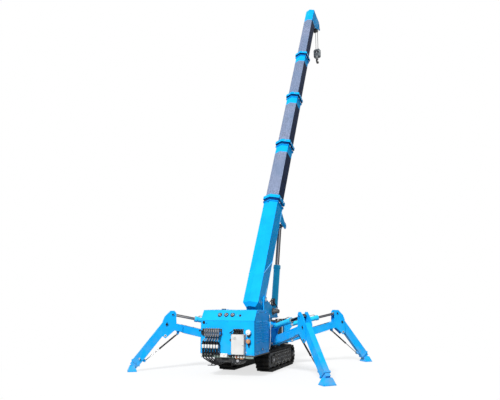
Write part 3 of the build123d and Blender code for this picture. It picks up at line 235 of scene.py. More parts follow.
def surface(
    name,
    colour,
    rough,
    metal=0.0,
    scale=14.0,
    vary=0.12,
    grain=180.0,
    bump=0.1,
    dust=0.0,
    wear=None,
    rounded=0.002,
    shine=0.3,
):
    """A finish with drifting colour, uneven gloss, fine grain, dust near the ground and worn edges."""
    n = Finish(name)
    drift = n.noise(scale, 4.0)
    base = n.mix(n.steps(drift, 0.35, 0.65), shade(colour, 1 - vary), shade(colour, 1 + vary))
    if wear is not None:
        patchy = n.math("MULTIPLY", n.edge_wear(0.004, 0.86, 0.97), n.steps(n.noise(60.0, 5.0), 0.45, 0.62))
        base = n.mix(patchy, base, wear)
    if dust:
        height = n.add("ShaderNodeSeparateXYZ", ((0, n.coords),)).outputs["Z"]
        low = n.steps(height, 0.7, 0.0)
        cloud = n.steps(n.noise(9.0, 6.0), 0.42, 0.72)
        base = n.mix(n.math("MULTIPLY", n.math("MULTIPLY", low, cloud), dust), base, DUST)
    n.feed(n.shader.inputs["Base Color"], base)
    n.feed(n.shader.inputs["Metallic"], metal)
    n.shader.inputs["Specular IOR Level"].default_value = shine
    gloss = n.steps(n.noise(scale * 3.1, 4.0), 0.3, 0.7, rough - 0.08, rough + 0.08)
    n.feed(n.shader.inputs["Roughness"], gloss)
    n.bump(n.noise(grain), bump, 0.0006, rounded)
    return n.material


BLUE = (0.006, 0.430, 0.980)
# Dark navy of the boom's sides, a painted shade, and light steel of its slopes with a painted sheen.
SIDE_SHADE = (0.006, 0.024, 0.085)
SLOPE_SHEEN = (0.230, 0.275, 0.400)
STEEL = rgb(0.55, 0.56, 0.58)
CHIPPED = rgb(0.02, 0.10, 0.22)
PAINT = dict(rough=0.42, scale=5.0, vary=0.06, grain=260.0, bump=0.04, shine=0.09, wear=CHIPPED)
mat = {
    "blue": surface("blue_enamel", BLUE, dust=0.16, **PAINT),
    "blue_leg": surface("blue_enamel_leg", BLUE, dust=0.45, **PAINT),
    # Lighter copy of the blue enamel on the cylinders, a painted highlight that lifts them out of shade.
    "cylinder": surface("cylinder_enamel_lightened", (0.025, 0.580, 1.0), dust=0.1, **PAINT),
    "frame": surface(
        "frame_paint", (0.022, 0.024, 0.027), 0.5, scale=8.0, vary=0.25, dust=0.25, wear=STEEL, shine=0.2
    ),
    "rubber": surface(
        "track_rubber", (0.008, 0.008, 0.009), 0.82, scale=20.0, vary=0.35, grain=90.0, bump=0.5, dust=0.16,
        rounded=0.003, shine=0.15,
    ),
    "soft": surface("soft_rubber", (0.008, 0.008, 0.010), 0.62, vary=0.2, grain=300.0, bump=0.15, shine=0.2),
    "hose": surface(
        "hose_rubber", (0.007, 0.007, 0.009), 0.5, vary=0.2, grain=420.0, bump=0.25, rounded=0.0, shine=0.25
    ),
    "black": surface(
        "black_plastic", (0.009, 0.010, 0.012), 0.42, vary=0.15, grain=500.0, bump=0.12, shine=0.2
    ),
    "steel": surface("machined_steel", (0.50, 0.51, 0.53), 0.34, 1.0, vary=0.15, grain=300.0, bump=0.12),
    "zinc": surface(
        "zinc_fittings", (0.34, 0.35, 0.35), 0.38, 1.0, scale=40.0, vary=0.2, grain=240.0
    ),
    "cast": surface("cast_iron", (0.09, 0.088, 0.085), 0.6, 0.3, vary=0.3, grain=160.0, bump=0.5),
    "block": surface("block_paint", (0.40, 0.44, 0.46), 0.5, vary=0.2, grain=200.0, bump=0.2, shine=0.15),
    "silver": surface("cast_alloy", (0.24, 0.25, 0.27), 0.45, 0.6, vary=0.1, grain=240.0, bump=0.25),
    "white": surface("white_grip", (0.80, 0.80, 0.77), 0.36, vary=0.04, grain=300.0, bump=0.06),
    "grey": surface(
        "box_paint", (0.66, 0.66, 0.65), 0.42, scale=6.0, vary=0.06, grain=260.0, bump=0.08, dust=0.15
    ),
    "red": surface("button_plastic", (0.62, 0.10, 0.025), 0.3, vary=0.08, grain=300.0, bump=0.03),
    # Pale blue for the boom's highlight strips: painted highlights, one of them over the doubler's real weld.
    "pale_highlight": surface("painted_highlight_blue", (0.16, 0.55, 0.98), 0.45, vary=0.12, grain=120.0, bump=0.4, shine=0.2),
    "tan": surface("tan_plastic", (0.48, 0.25, 0.12), 0.45, vary=0.1, grain=300.0, bump=0.05),
    "dial": surface("dial_face", (0.04, 0.10, 0.15), 0.5, vary=0.03, grain=300.0, bump=0.0),
    "seal": surface("seal_strip", (0.22, 0.30, 0.26), 0.6, vary=0.15, grain=200.0, bump=0.1, dust=0.3),
    "track_plate": surface(
        "plate_paint", (0.072, 0.069, 0.067), 0.75, scale=26.0, vary=0.55, grain=60.0, bump=0.6, dust=0.2,
        shine=0.15,
    ),
    "dark": surface("dark_gap", (0.006, 0.008, 0.012), 0.7, vary=0.2, grain=200.0, bump=0.1, rounded=0.0),
}


def gunmetal(name, half, blue_from, blue_to, shaded_groove=True):
    """Satin boom steel, its sides painted dark as shade and its slopes painted light with streaks along the
    boom as sheen, and blue enamel between two distances.
    """
    n = Finish(name)
    direction = (BOOM.to_3x3() @ Vector((1, 0, 0))).normalized()
    origin = BOOM @ Vector((0, 0, 0))
    lean = direction.to_track_quat("X", "Z").to_euler()
    back = tuple(-a for a in lean)
    # The sides: streaked dark navy, a painted shade that keeps them darker than the slopes.
    streak = n.noise(9.0, 5.0, (0.35, 6.0, 6.0), back)
    side = n.mix(n.steps(streak, 0.35, 0.68), shade(SIDE_SHADE, 0.5), shade(SIDE_SHADE, 1.1))
    # The slopes: light steel with bright streaks along the boom and a bluish film, a painted sheen.
    sheen_streaks = n.steps(n.noise(16.0, 5.0, (0.2, 7.0, 7.0), back), 0.36, 0.64)
    slope_sheen = n.mix(sheen_streaks, shade(SLOPE_SHEEN, 0.35), shade(SLOPE_SHEEN, 1.6))
    film = n.steps(n.noise(3.0, 4.0), 0.4, 0.7)
    slope_sheen = n.mix(n.math("MULTIPLY", film, 0.5), slope_sheen, rgb(0.13, 0.20, 0.32))
    # Faces at the section's half width are the sides, which take the painted shade.
    across = n.along(origin, (BOOM.to_3x3() @ Vector((0, 1, 0))).normalized())
    shaded_side = n.math("GREATER_THAN", n.math("ABSOLUTE", across), (half - 2.0) * MM)
    base = n.mix(shaded_side, slope_sheen, side)
    gloss = n.steps(n.noise(26.0, 4.0, (0.3, 3.0, 3.0), back), 0.3, 0.7, 0.26, 0.46)
    t = n.along(origin, direction)
    after = n.math("GREATER_THAN", t, blue_from * MM)
    inside = n.math("MULTIPLY", after, n.math("LESS_THAN", t, blue_to * MM))
    enamel = n.mix(n.steps(n.noise(5.0, 4.0), 0.35, 0.65), shade(BLUE, 0.93), shade(BLUE, 1.07))
    # Painted shade: a deep blue band over the collar's groove.
    if shaded_groove:
        past = n.math("GREATER_THAN", t, (blue_to - 118.0) * MM)
        short = n.math("LESS_THAN", t, (blue_to - 60.5) * MM)
        enamel = n.mix(n.math("MULTIPLY", past, short), enamel, rgb(0.004, 0.045, 0.20))
    base = n.mix(inside, base, enamel)
    n.feed(n.shader.inputs["Base Color"], base)
    n.shader.inputs["Specular IOR Level"].default_value = 0.015
    n.feed(n.shader.inputs["Roughness"], gloss)
    n.bump(n.noise(240.0, 3.0), 0.06, 0.0006, 0.003)
    return n.material


def rope_material():
    """Stranded wire: dark grooves between bright strands."""
    n = Finish("wire_rope")
    look = (("Vector", n.coords), ("Scale", 60.0), ("Distortion", 0.4))
    fac = n.add("ShaderNodeTexWave", look, bands_direction="DIAGONAL").outputs["Fac"]
    n.feed(n.shader.inputs["Base Color"], n.mix(fac, rgb(0.02, 0.03, 0.035), rgb(0.10, 0.14, 0.155)))
    n.shader.inputs["Metallic"].default_value = 0.25
    n.feed(n.shader.inputs["Roughness"], n.steps(fac, 0.0, 1.0, 0.55, 0.32))
    n.bump(fac, 0.5, 0.002)
    return n.material


def chrome_material():
    """Polished rod with a painted reflection: pale where it faces out and dark towards its edges."""
    n = Finish("chrome_rod")
    # Painted reflection: a pale core and dark rims, set by how squarely the rod faces the eye.
    edge = n.add("ShaderNodeLayerWeight", (("Blend", 0.42),)).outputs["Facing"]
    base = n.mix(n.steps(edge, 0.0, 0.20), rgb(0.42, 0.42, 0.44), rgb(0.008, 0.009, 0.014))
    film = n.steps(n.noise(30.0, 4.0), 0.3, 0.7, 0.0, 0.18)
    n.feed(n.shader.inputs["Base Color"], n.mix(film, base, rgb(0.12, 0.12, 0.13)))
    n.shader.inputs["Metallic"].default_value = 1.0
    n.feed(n.shader.inputs["Roughness"], n.steps(n.noise(90.0, 3.0), 0.3, 0.7, 0.12, 0.26))
    n.bump(n.noise(600.0, 2.0), 0.02, 0.0006)
    return n.material


def glass_material():
    n = Finish("gauge_glass")
    n.shader.inputs["Base Color"].default_value = rgb(0.95, 0.97, 1.0)
    n.shader.inputs["Transmission Weight"].default_value = 0.9
    n.shader.inputs["Roughness"].default_value = 0.04
    n.shader.inputs["IOR"].default_value = 1.45
    return n.material


mat["rope"] = rope_material()
mat["chrome"] = chrome_material()
mat["glass"] = glass_material()
for number in range(2, SECTIONS):
    mouth = COLLAR_1 + (number - 1) * STEP
    half_width = BOOM_HALF - BOOM_INSET * (number - 1)
    mat[f"boom_{number}"] = gunmetal(f"boom_steel_{number}", half_width, mouth - COLLAR_PAINT, mouth + 1.0)
half_width = BOOM_HALF - BOOM_INSET * (SECTIONS - 1)
mat["boom_5"] = gunmetal("boom_steel_5", half_width, HEAD_AT - 392.0, HEAD_AT + 60.0, False)
mat["boom_1"] = gunmetal("boom_enamel_1", BOOM_HALF, -400.0, COLLAR_1)

node_finish = {
    "chassis": "frame", "hood": "blue", "engine": "cast", "gauges": "black", "valve_bank": "silver",
    "levers": "black", "control_box": "grey", "lamp": "white", "stop_button": "red", "slew_ring": "steel",
    "track_left": "rubber", "track_right": "rubber", "track_frames": "frame", "turret": "blue",
    "winch_drum": "steel", "luff_barrel": "cylinder", "luff_rod": "chrome", "head_sheaves": "cast",
    "hoist_rope": "rope", "hook_block": "block", "hook": "cast",
}
for number in range(1, SECTIONS + 1):
    node_finish[f"boom_{number}"] = f"boom_{number}"
for name, *_ in OUTRIGGERS:
    for part, finish in (
        ("swivel", "blue"), ("arm", "blue_leg"), ("lift_barrel", "cylinder"), ("lift_rod", "chrome"),
        ("leg", "blue_leg"), ("foot", "blue_leg"), ("strut_barrel", "black"), ("strut_rod", "chrome"),
    ):
        node_finish[f"{name}_{part}"] = finish
for node, finish in node_finish.items():
    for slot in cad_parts[node].material_slots:
        slot.material = mat[finish]


# Floor, sky and lamps
def stage_floor():
    size = 60.0
    mesh = bpy.data.meshes.new("floor")
    mesh.from_pydata(
        [(-size, -size, 0), (size, -size, 0), (size, size, 0), (-size, size, 0)], [], [(0, 1, 2, 3)]
    )
    floor = bpy.data.objects.new("floor", mesh)
    floor.location.z = -0.0005
    bpy.context.scene.collection.objects.link(floor)
    n = Finish("pale_floor")
    n.shader.inputs["Roughness"].default_value = 0.9
    n.shader.inputs["Specular IOR Level"].default_value = 0.1
    seen = n.seen()
    n.feed(n.shader.inputs["Base Color"], n.mix(seen, rgb(0.30, 0.30, 0.30), rgb(0.94, 0.94, 0.94)))
    far = n.steps(n.vector("LENGTH", n.coords)["Value"], 0.8, 4.0, 0.72, 1.0)
    white = n.add("ShaderNodeEmission", (("Color", rgb(1, 1, 1)), ("Strength", 1.0)))
    share = n.math("MULTIPLY", far, seen)
    blend = n.add("ShaderNodeMixShader", ((0, share), (1, n.shader.outputs[0]), (2, white.outputs[0])))
    output = next(node for node in n.tree.nodes if node.type == "OUTPUT_MATERIAL")
    n.feed(output.inputs["Surface"], blend.outputs[0])
    mesh.materials.append(n.material)


def world_light(strength):
    world = bpy.data.worlds.new("studio")
    world.use_nodes = True
    bpy.context.scene.world = world
    n = Nodes(world.node_tree)
    n.tree.nodes.clear()
    white = n.add("ShaderNodeBackground", (("Color", rgb(1, 1, 1)), ("Strength", 1.0)))
    light = n.add("ShaderNodeBackground", (("Color", rgb(0.93, 0.96, 1.0)), ("Strength", strength)))
    blend = n.add("ShaderNodeMixShader", ((0, n.seen()), (1, light.outputs[0]), (2, white.outputs[0])))
    n.add("ShaderNodeOutputWorld", ((0, blend.outputs[0]),))


def sun(name, direction, strength, spread):
    data = bpy.data.lights.new(name, "SUN")
    data.energy = strength
    data.angle = radians(spread)
    lamp = bpy.data.objects.new(name, data)
    lamp.rotation_mode = "QUATERNION"
    lamp.rotation_quaternion = Vector(direction).normalized().to_track_quat("Z", "Y")
    bpy.context.scene.collection.objects.link(lamp)


stage_floor()
world_light(0.40)
sun("key", (-1.0, 0.03, 0.78), 3.7, 12.0)


# Mesh kit
def level(x0, x1, y0, y1, z):
    """Corners of a rectangle at one height."""
    return [(x0, y0, z), (x1, y0, z), (x1, y1, z), (x0, y1, z)]


def standing(x0, x1, y, z0, z1):
    return [(x0, y, z0), (x1, y, z0), (x1, y, z1), (x0, y, z1)]


class Piece:
    """One object made of bevelled boxes, turned shapes, plates, bolts and tubes."""

    def __init__(self, name, body, place=WORLD, finish=()):
        self.name = name
        self.body = body
        self.place = place
        self.finish = list(finish)
        self.bm = bmesh.new()
        self.slot = 0

    def use(self, finish):
        """The finish of the shapes that follow."""
        if finish not in self.finish:
            self.finish.append(finish)
        self.slot = self.finish.index(finish)
        return self

    def _take(self, verts, place):
        matrix = self.place if place is None else place
        for face in {f for v in verts for f in v.link_faces}:
            face.material_index = self.slot
        bmesh.ops.transform(self.bm, matrix=matrix, verts=verts)

    def solid(self, rings, bevel=0.0, segments=2, place=None):
        """A closed skin over rings of corners; each ring has the same number of corners."""
        loops = [[self.bm.verts.new(p) for p in ring] for ring in rings]
        count = len(loops[0])
        faces = []
        for a, b in zip(loops, loops[1:]):
            for i in range(count):
                j = (i + 1) % count
                faces.append(self.bm.faces.new((a[i], a[j], b[j], b[i])))
        faces.append(self.bm.faces.new(loops[0][::-1]))
        faces.append(self.bm.faces.new(loops[-1]))
        bmesh.ops.recalc_face_normals(self.bm, faces=faces)
        verts = [v for loop in loops for v in loop]
        if bevel:
            edges = {e for f in faces for e in f.edges}
            edges = [e for e in edges if e.is_manifold and e.calc_face_angle(0.0) > 0.5]
            made = bmesh.ops.bevel(
                self.bm, geom=edges, offset=bevel, segments=segments, affect="EDGES", clamp_overlap=True
            )
            verts = list({v for v in verts if v.is_valid} | set(made["verts"]))
        self._take(verts, place)
        return self

    def box(self, lo, hi, bevel=1.5, place=None, segments=2):
        """Between two opposite corners, in any order."""
        (x0, x1), (y0, y1), (z0, z1) = (sorted(pair) for pair in zip(lo, hi))
        return self.solid([level(x0, x1, y0, y1, z) for z in (z0, z1)], bevel, segments, place)

    def plate(self, outline, y0, y1, bevel=1.0):
        """An outline of (x, z) corners between two y values, in any order."""
        return self.solid([[(x, y, z) for x, z in outline] for y in sorted((y0, y1))], bevel)

    def turned(self, profile, at=(0, 0, 0), axis="Z", segments=24, place=None):
        """Rings of (radius, height) about an axis through a point, upwards or against the axis."""
        x, y, z = (Vector(row) for row in Matrix.Identity(3))
        u, v, w = {"X": (z, y, x), "Y": (x, z, y), "Z": (x, y, z)}[axis[-1]]
        if axis[0] == "-":
            w = -w
        rings = []
        for radius, height in profile:
            radius = max(radius, 0.01)
            ring = []
            for i in range(segments):
                a = 2 * pi * i / segments
                ring.append(Vector(at) + u * radius * cos(a) + v * radius * sin(a) + w * height)
            rings.append(ring)
        return self.solid(rings, place=place)

    def bolt(self, at, axis, radius=7.0, height=6.0, place=None, washer=True):
        """A hexagon head with a washer, along or against an axis."""
        if washer:
            self.turned([(radius * 1.35, 0), (radius * 1.35, height * 0.25)], at, axis, 14, place)
        self.turned([(radius, 0), (radius, height * 0.85), (radius * 0.82, height)], at, axis, 6, place)
        return self

    def row(self, path, radius):
        """A straight-edged bead or bar through points."""
        return self.tube(path, radius, 8, smooth=False)

    def tube(self, points, radius, sides=10, smooth=True):
        """A round bar through points, its path rounded by a spline."""
        path = [Vector(p) for p in points]
        if smooth and len(path) > 2:
            fine = []
            padded = [path[0] * 2 - path[1]] + path + [path[-1] * 2 - path[-2]]
            for a, b, c, d in zip(padded, padded[1:], padded[2:], padded[3:]):
                for i in range(6):
                    t = i / 6
                    fine.append(
                        0.5 * ((2 * b) + (c - a) * t + (2 * a - 5 * b + 4 * c - d) * t * t
                               + (3 * b - 3 * c + d - a) * t ** 3)
                    )
            path = fine + [path[-1]]
        rings = []
        normal = None
        for i, p in enumerate(path):
            tangent = (path[min(i + 1, len(path) - 1)] - path[max(i - 1, 0)]).normalized()
            if normal is None:
                normal = tangent.orthogonal().normalized()
            normal = (normal - tangent * normal.dot(tangent)).normalized()
            other = tangent.cross(normal)
            rings.append(
                [p + (normal * cos(2 * pi * k / sides) + other * sin(2 * pi * k / sides)) * radius
                 for k in range(sides)]
            )
        return self.solid(rings)

    def done(self, sharp=38.0):
        mesh = bpy.data.meshes.new(self.name)
        for edge in self.bm.edges:
            edge.smooth = edge.is_manifold and edge.calc_face_angle(0.0) < radians(sharp)
        for face in self.bm.faces:
            face.smooth = True
        self.bm.to_mesh(mesh)
        self.bm.free()
        for finish in self.finish:
            mesh.materials.append(mat[finish])
        obj = bpy.data.objects.new(self.name, mesh)
        bpy.context.scene.collection.objects.link(obj)
        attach(obj, self.body)
        return obj


def hose(name, body, points, diameter, finish="hose"):
    """A hose on one smooth line along its route's points, in millimetres of the whole machine."""
    data = bpy.data.curves.new(name, "CURVE")
    data.dimensions = "3D"
    data.bevel_depth = diameter / 2 * MM
    data.bevel_resolution = 3
    data.use_fill_caps = True
    spline = data.splines.new("NURBS")
    spline.points.add(len(points) - 1)
    for point, place in zip(spline.points, points):
        point.co = (*(Vector(place) * MM), 1.0)
    spline.order_u = 3
    spline.use_endpoint_u = True
    spline.resolution_u = 6
    data.materials.append(mat[finish])
    obj = bpy.data.objects.new(name, data)
    bpy.context.scene.collection.objects.link(obj)
    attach(obj, body)


def spot(place, at):
    """A frame's local point in millimetres of the whole machine."""
    return tuple(place @ Vector(at) / MM)


def circle(radius, count, start=0.0):
    """Offsets of points spread evenly round a circle."""
    for k in range(count):
        a = radians(start + 360 / count * k)
        yield radius * cos(a), radius * sin(a)


# Outriggers
def swivel_fittings(name, middle):
    """Washers, keepers, collars and bolts of the post."""
    p = Piece(f"{name}_swivel_fittings", f"{name}_swivel", middle, ["steel"])
    for x, z in (ARM_PIN, LIFT_PIN):
        for side, axis in FACING.items():
            face = side * (PLATE_FACE + 0.5)
            p.use("steel").turned([(20, 0), (20, 5), (17, 7), (5, 7)], (x, face, z), axis)
            keeper = ((x - 32, z - 13), (x - 12, z - 13), (x - 12, z + 13), (x - 32, z + 13))
            p.use("blue").plate(keeper, face, face + side * 5)
            p.use("blue_leg").bolt((x - 26, face + side * 5, z), axis, 5, 4)
    p.use("frame")
    for z in (362.0, 692.0):
        p.box((-20, -52, z), (20, 52, z + 5))
    p.use("blue_leg")
    for side, axis in FACING.items():
        for z in (420.0, 470.0, 560.0, 610.0):
            p.bolt((10, side * (PLATE_FACE + 0.5), z), axis, 5, 4)
    p.done()


def arm_fittings(name, middle):
    p = Piece(f"{name}_arm_fittings", f"{name}_arm", middle, ["blue_leg"])
    for side, axis in FACING.items():
        face = side * PLATE_FACE
        # keepers of the knee and rod pins, and the bolts round the arm's end
        p.use("blue_leg")
        for x, z, half in ((1026, 690, 14), (925, 827, 11)):
            p.box((x - half, face, z - 6), (x + half, face + side * 4, z + 6), 1.0)
        p.bolt((1026, face + side * 4, 690), axis, 5, 4, washer=False)
        p.bolt((925, face + side * 4, 827), axis, 4.5, 4, washer=False)
        for x, z in ((806, 560), (806, 625), (846, 566), (850, 645)):
            p.bolt((x, face, z), axis, 6, 5)
        # dark discs at the centres of both pins, a painted shade of the holes there, and the rim of the lock
        # hole
        p.use("dark")
        for (x, z), radius in ((KNEE, 19), (ROD_PIN, 14)):
            p.turned([(radius, 7), (radius, 9)], (x, face, z), axis)
        p.use("white" if side > 0 else "steel")
        p.turned([(11, 0), (17, 0), (17, 2.5), (11, 2.5), (11, 0)], (1043, face, 497), axis, 20)
        # weld beads at the plates and along the arm, and a rib under its pin end
        p.use("blue_leg")
        for y, radius, line in (
            (46, 3.0, ((786, 548), (786, 592), (786, 637))),
            (44, 2.0, ((240, 505), (500, 565), (780, 640))),
            (44, 2.0, ((210, 395), (500, 465), (780, 533))),
        ):
            p.tube([(x, side * y, z) for x, z in line], radius, 6, smooth=False)
        p.plate(((150, 392), (330, 433), (330, 445), (150, 404)), side * 45, side * 50)
    # two pipes along the arm's back, held by clips
    p.use("black")
    for y in (-14, 14):
        p.tube([(250, y, 521), (420, y, 560), (600, y, 602), (760, y, 640), (800, y, 652)], 5.0, 8)
    clips = [(250 + t * 510, 516 + t * 119) for t in (0.12, 0.42, 0.72, 0.95)]
    for x, z in clips:
        p.box((x - 8, -26, z), (x + 8, 26, z + 12), 2.0)
    p.use("blue_leg")
    for x, z in clips:
        p.bolt((x, 0, z + 12), "Z", 4, 3, washer=False)
    p.done()


def lift_fittings(name, middle):
    """Base ring, gland, lock valve, ports and pipe of the lift cylinder, and its rod's eye."""
    run_x, run_z = ROD_PIN[0] - LIFT_PIN[0], ROD_PIN[1] - LIFT_PIN[1]
    reach = hypot(run_x, run_z)
    line = tilted(middle, *LIFT_PIN, degrees(atan2(run_z, run_x)))
    p = Piece(f"{name}_lift_cylinder_fittings", f"{name}_lift_barrel", line, ["cylinder"])
    p.turned([(38, 36), (40.5, 38), (40.5, 52), (38, 54)], axis="X", segments=28)
    p.turned([(38, 478), (43, 480), (43, 516), (41, 520), (21, 520), (21, 478)], axis="X", segments=32)
    p.use("steel").turned([(21, 520), (28, 520), (28, 526), (21, 528)], axis="X")
    p.use("zinc")
    for y, z in circle(43, 4, 45):
        p.turned([(3.2, 0), (3.2, 2.5)], (500, y, z), "X", 6)
    p.use("cast").box((60, -20, 34), (150, 20, 66), 3.0)
    p.use("zinc")
    for x, top in ((84, 84), (126, 80)):
        p.turned([(9, 66), (9, 74), (7, 76), (7, top)], (x, 0, 0), "Z", 6)
    p.turned([(8, 36), (8, 56)], (462, 0, 0), "Z", 6)
    p.tube([(462, 0, 52), (430, 0, 58), (300, 0, 54), (180, 0, 54), (150, 0, 52)], 5.0, 8)
    p.use("black").box((290, -12, 38), (306, 12, 62), 2.0)
    p.done()
    p = Piece(f"{name}_lift_rod_eye", f"{name}_lift_rod", line, ["steel"])
    p.turned([(20, reach - 64), (24, reach - 60), (24, reach - 40), (20, reach - 36)], axis="X", segments=6)
    p.use("zinc").turned([(3, 26), (3, 32), (1.5, 36)], (reach, 0, 0), "Z", 8)
    p.done()


def leg_fittings(name, middle):
    p = Piece(f"{name}_leg_fittings", f"{name}_leg", tilted(middle, *KNEE, LEG_ANGLE), ["blue_leg"])
    for side, axis in FACING.items():
        for at in (130, 420):
            for z in (-38, 38):
                p.bolt((at, side * 40, z), axis, 5, 4)
        for z in (-40, 0, 40):
            p.bolt((LEG_COLLAR, side * 47, z), axis, 5, 5, washer=False)
        # weld beads down the corners of the box section and round its collar
        for z in (-59.5, 59.5):
            p.tube([(at, side * 38.5, z) for at in (90, 400, 676)], 2.2, 6, smooth=False)
        p.tube([(678, side * 40, -60), (678, side * 41, 0), (678, side * 40, 60)], 3.0, 6, smooth=False)
    for side, axis in ((-1, "-Z"), (1, "Z")):
        for y in (-24, 24):
            p.bolt((LEG_COLLAR, y, side * 69.5), axis, 5, 5, washer=False)
    # set-pin with its ring on the outer face
    at = (LEG_SET_PIN, 0, 0)
    ring = ((0, 62, 0), (14, 66, 10), (24, 66, 0), (14, 66, -12), (0, 62, 0))
    p.use("steel").turned([(9, 40), (9, 58), (12, 60), (12, 66), (10, 68)], at, "Y", 16)
    p.tube([(LEG_SET_PIN + x, y, z) for x, y, z in ring], 2.0, 6)
    p.use("black").turned([(12, 40), (12, 45), (9, 47)], at, "Y", 16)
    p.done()


def foot_fittings(name, middle):
    """Rubber sole, gussets, bolts and the washers of the ball's bolt."""
    ball = Matrix.Translation((KNEE[0] + LEG_TO_BALL * cos(radians(LEG_ANGLE)), 0, 0))
    p = Piece(f"{name}_foot_fittings", f"{name}_foot", middle @ ball, ["rubber"])
    p.box((-62, -87, 0.2), (62, 87, 9), 3.0)
    p.use("blue_leg")
    for side in SIDES:
        p.solid([
            level(-5, 5, side * 44, side * 82, 14),
            [(-5, side * 44, 80), (5, side * 44, 80), (5, side * 48, 78), (-5, side * 48, 78)],
        ], 1.0)
    p.use("zinc")
    for x in (-52, 52):
        for y in (-77, 77):
            p.bolt((x, y, 14), "Z", 6, 6)
    p.use("steel")
    for axis in FACING.values():
        p.turned([(12, 46), (14, 46), (14, 50), (8, 51)], (0, 0, 62), axis, 20)
    p.done()


def strut_fittings(name, middle):
    """End rings of the gas strut between the arm and the leg."""
    a = radians(LEG_ANGLE)
    base = Vector(STRUT_PIN)
    along, below = LEG_STRUT_PIN
    tip = Vector((KNEE[0] + along * cos(a) + below * sin(a), KNEE[1] + along * sin(a) - below * cos(a)))
    run = tip - base
    line = tilted(middle, base.x, base.y, degrees(atan2(run.y, run.x)))
    p = Piece(f"{name}_strut_fittings", f"{name}_strut_barrel", line, ["zinc"])
    p.turned([(8, 26), (13.5, 28), (13.5, 40), (12, 42)], axis="X", segments=20)
    p.use("black").turned([(12, 326), (14, 328), (14, 342), (10, 346), (6.6, 346)], axis="X", segments=20)
    p.done()
    end = run.length
    p = Piece(f"{name}_strut_eye", f"{name}_strut_rod", line, ["zinc"])
    p.turned([(6, end - 34), (9, end - 32), (9, end - 20), (7, end - 14)], axis="X", segments=6)
    p.done()


for name, *place in OUTRIGGERS:
    post = upright(*place)
    for dress in (swivel_fittings, arm_fittings, lift_fittings, leg_fittings, foot_fittings, strut_fittings):
        dress(name, post)


# Rear of the machine
slope = atan2(HOOD_TOP - SLOPE_LOW, SLOPE_DEPTH)
REAR = axes((HOOD_REAR, 0, 0), (0, -1, 0), (-1, 0, 0))
SLOPE = axes((HOOD_REAR, 0, SLOPE_LOW), (0, -1, 0), (-sin(slope), 0, cos(slope)))


def gauges():
    p = Piece("gauge_dials", "chassis", SLOPE, ["black"])
    rim = [(33, 0), (33, 3), (30, 5), (30, 9), (28.5, 12), (25, 12.5), (24, 11), (24, 5)]
    for k, y in enumerate((130.0, 33.0, -60.0)):
        at = (-y, 88.0, 0.0)
        centre = SLOPE @ Matrix.Translation(at)
        p.use("black").turned(rim, at, segments=40)
        p.use("dial").turned([(23.9, 5.1), (23.9, 5.6)], at, segments=32)
        p.use("dark").turned([(18.5, 5.6), (18.5, 6.0)], at, segments=32)
        p.use("black")
        for i in range(9):
            mark = centre @ Matrix.Rotation(radians(-40 + 32.5 * i), 4, "Z")
            p.box((18.6, -0.7, 5.6), (22.6, 0.7, 6.1), 0.0, mark)
        needle = centre @ Matrix.Rotation(radians(70 + 50 * k), 4, "Z")
        p.use("white").box((-5, -0.9, 6.3), (17, 0.9, 7.0), 0.2, needle)
        p.use("black").turned([(3.4, 6.0), (3.4, 7.6), (2.0, 8.2)], at, segments=14)
        p.use("glass").turned([(24.4, 9.6), (24.4, 10.4), (20, 11.0)], at, segments=32)
    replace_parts(p.done(), "gauges")


def hood_seams(p):
    """Dark joints of the rear door, the sloped panel, the side doors and the top."""
    for y in (396.4, -396.4):
        p.box((HOOD_REAR - 0.7, y - 1.0, 306), (HOOD_REAR + 0.5, y + 1.0, 738), 0.0)
    p.box((HOOD_REAR - 0.7, -396, 305), (HOOD_REAR + 0.5, 396, 307), 0.0)
    p.box((HOOD_REAR - 0.6, -396, 737.0), (HOOD_REAR + 0.5, 396, 738.6), 0.0)
    for side in SIDES:
        face = side * HOOD_SIDE
        for x0, x1, z0, z1 in (
            (-1340, -1338, 338, 730), (-812, -810, 338, 846),
            (-1340, -810, 337, 339), (-1268, -810, 845, 847),
        ):
            p.box((x0, face, z0), (x1, face + side * 0.7, z1), 0.0)
    for x1, y0, y1 in ((-1253, -384, 384), (-800, 383, 385), (-800, -385, -383)):
        p.box((-1255, y0, 876.6), (x1, y1, 877.8), 0.0)


def louvres(p):
    """Pressed lips with closed ends over the slots in both sides."""
    middle = (HOOD_REAR + HOOD_FRONT) / 2
    for side in SIDES:
        for column in (-1, 1):
            cx = middle + column * 123.5
            for k in range(9):
                cz = 586.5 + (k - 4) * 34.0
                p.solid([
                    level(cx - half, cx + half, side * outer, side * inner, z)
                    for half, outer, inner, z in ((98, 400.2, 398.0, cz + 12), (94, 407.0, 404.8, cz - 7))
                ], 0.6, 1)
                for x in (cx - 96, cx + 96):
                    p.solid([
                        [(x - 1.5, side * 399.0, low), (x + 1.5, side * 399.0, low), (x, side * outer, z)]
                        for low, outer, z in ((cz + 11, 400.4, cz + 12), (cz - 7, 406.6, cz - 7))
                    ])


def hood_hardware(p):
    """Hinges, latches and screws on both sides."""
    for side, axis in FACING.items():
        face = side * HOOD_SIDE
        for x in (-1240, -920):
            p.use("blue")
            p.box((x - 30, face, 846), (x + 30, face + side * 4, 864), 1.0)
            p.box((x - 30, face, 822), (x + 30, face + side * 4, 843), 1.0)
            p.turned([(5, -30), (5, 30)], (x, face + side * 5, 845), "X", 14)
            for dx in (-20, 20):
                for z in (855, 832):
                    p.bolt((x + dx, face + side * 4, z), axis, 4, 3, washer=False)
        p.use("blue").box((-1110, face, 344), (-1040, face + side * 7, 372), 3.0)
        p.use("steel").turned([(8, 0), (8, 3), (6, 4)], (-1088, face + side * 7, 358), axis, 18)
        p.use("dark").box((-1076, face + side * 7, 350), (-1048, face + side * 8, 366), 1.0)
        p.use("zinc")
        for x in (-1325, -1180, -960, -826):
            p.bolt((x, face, 318), axis, 5, 3)


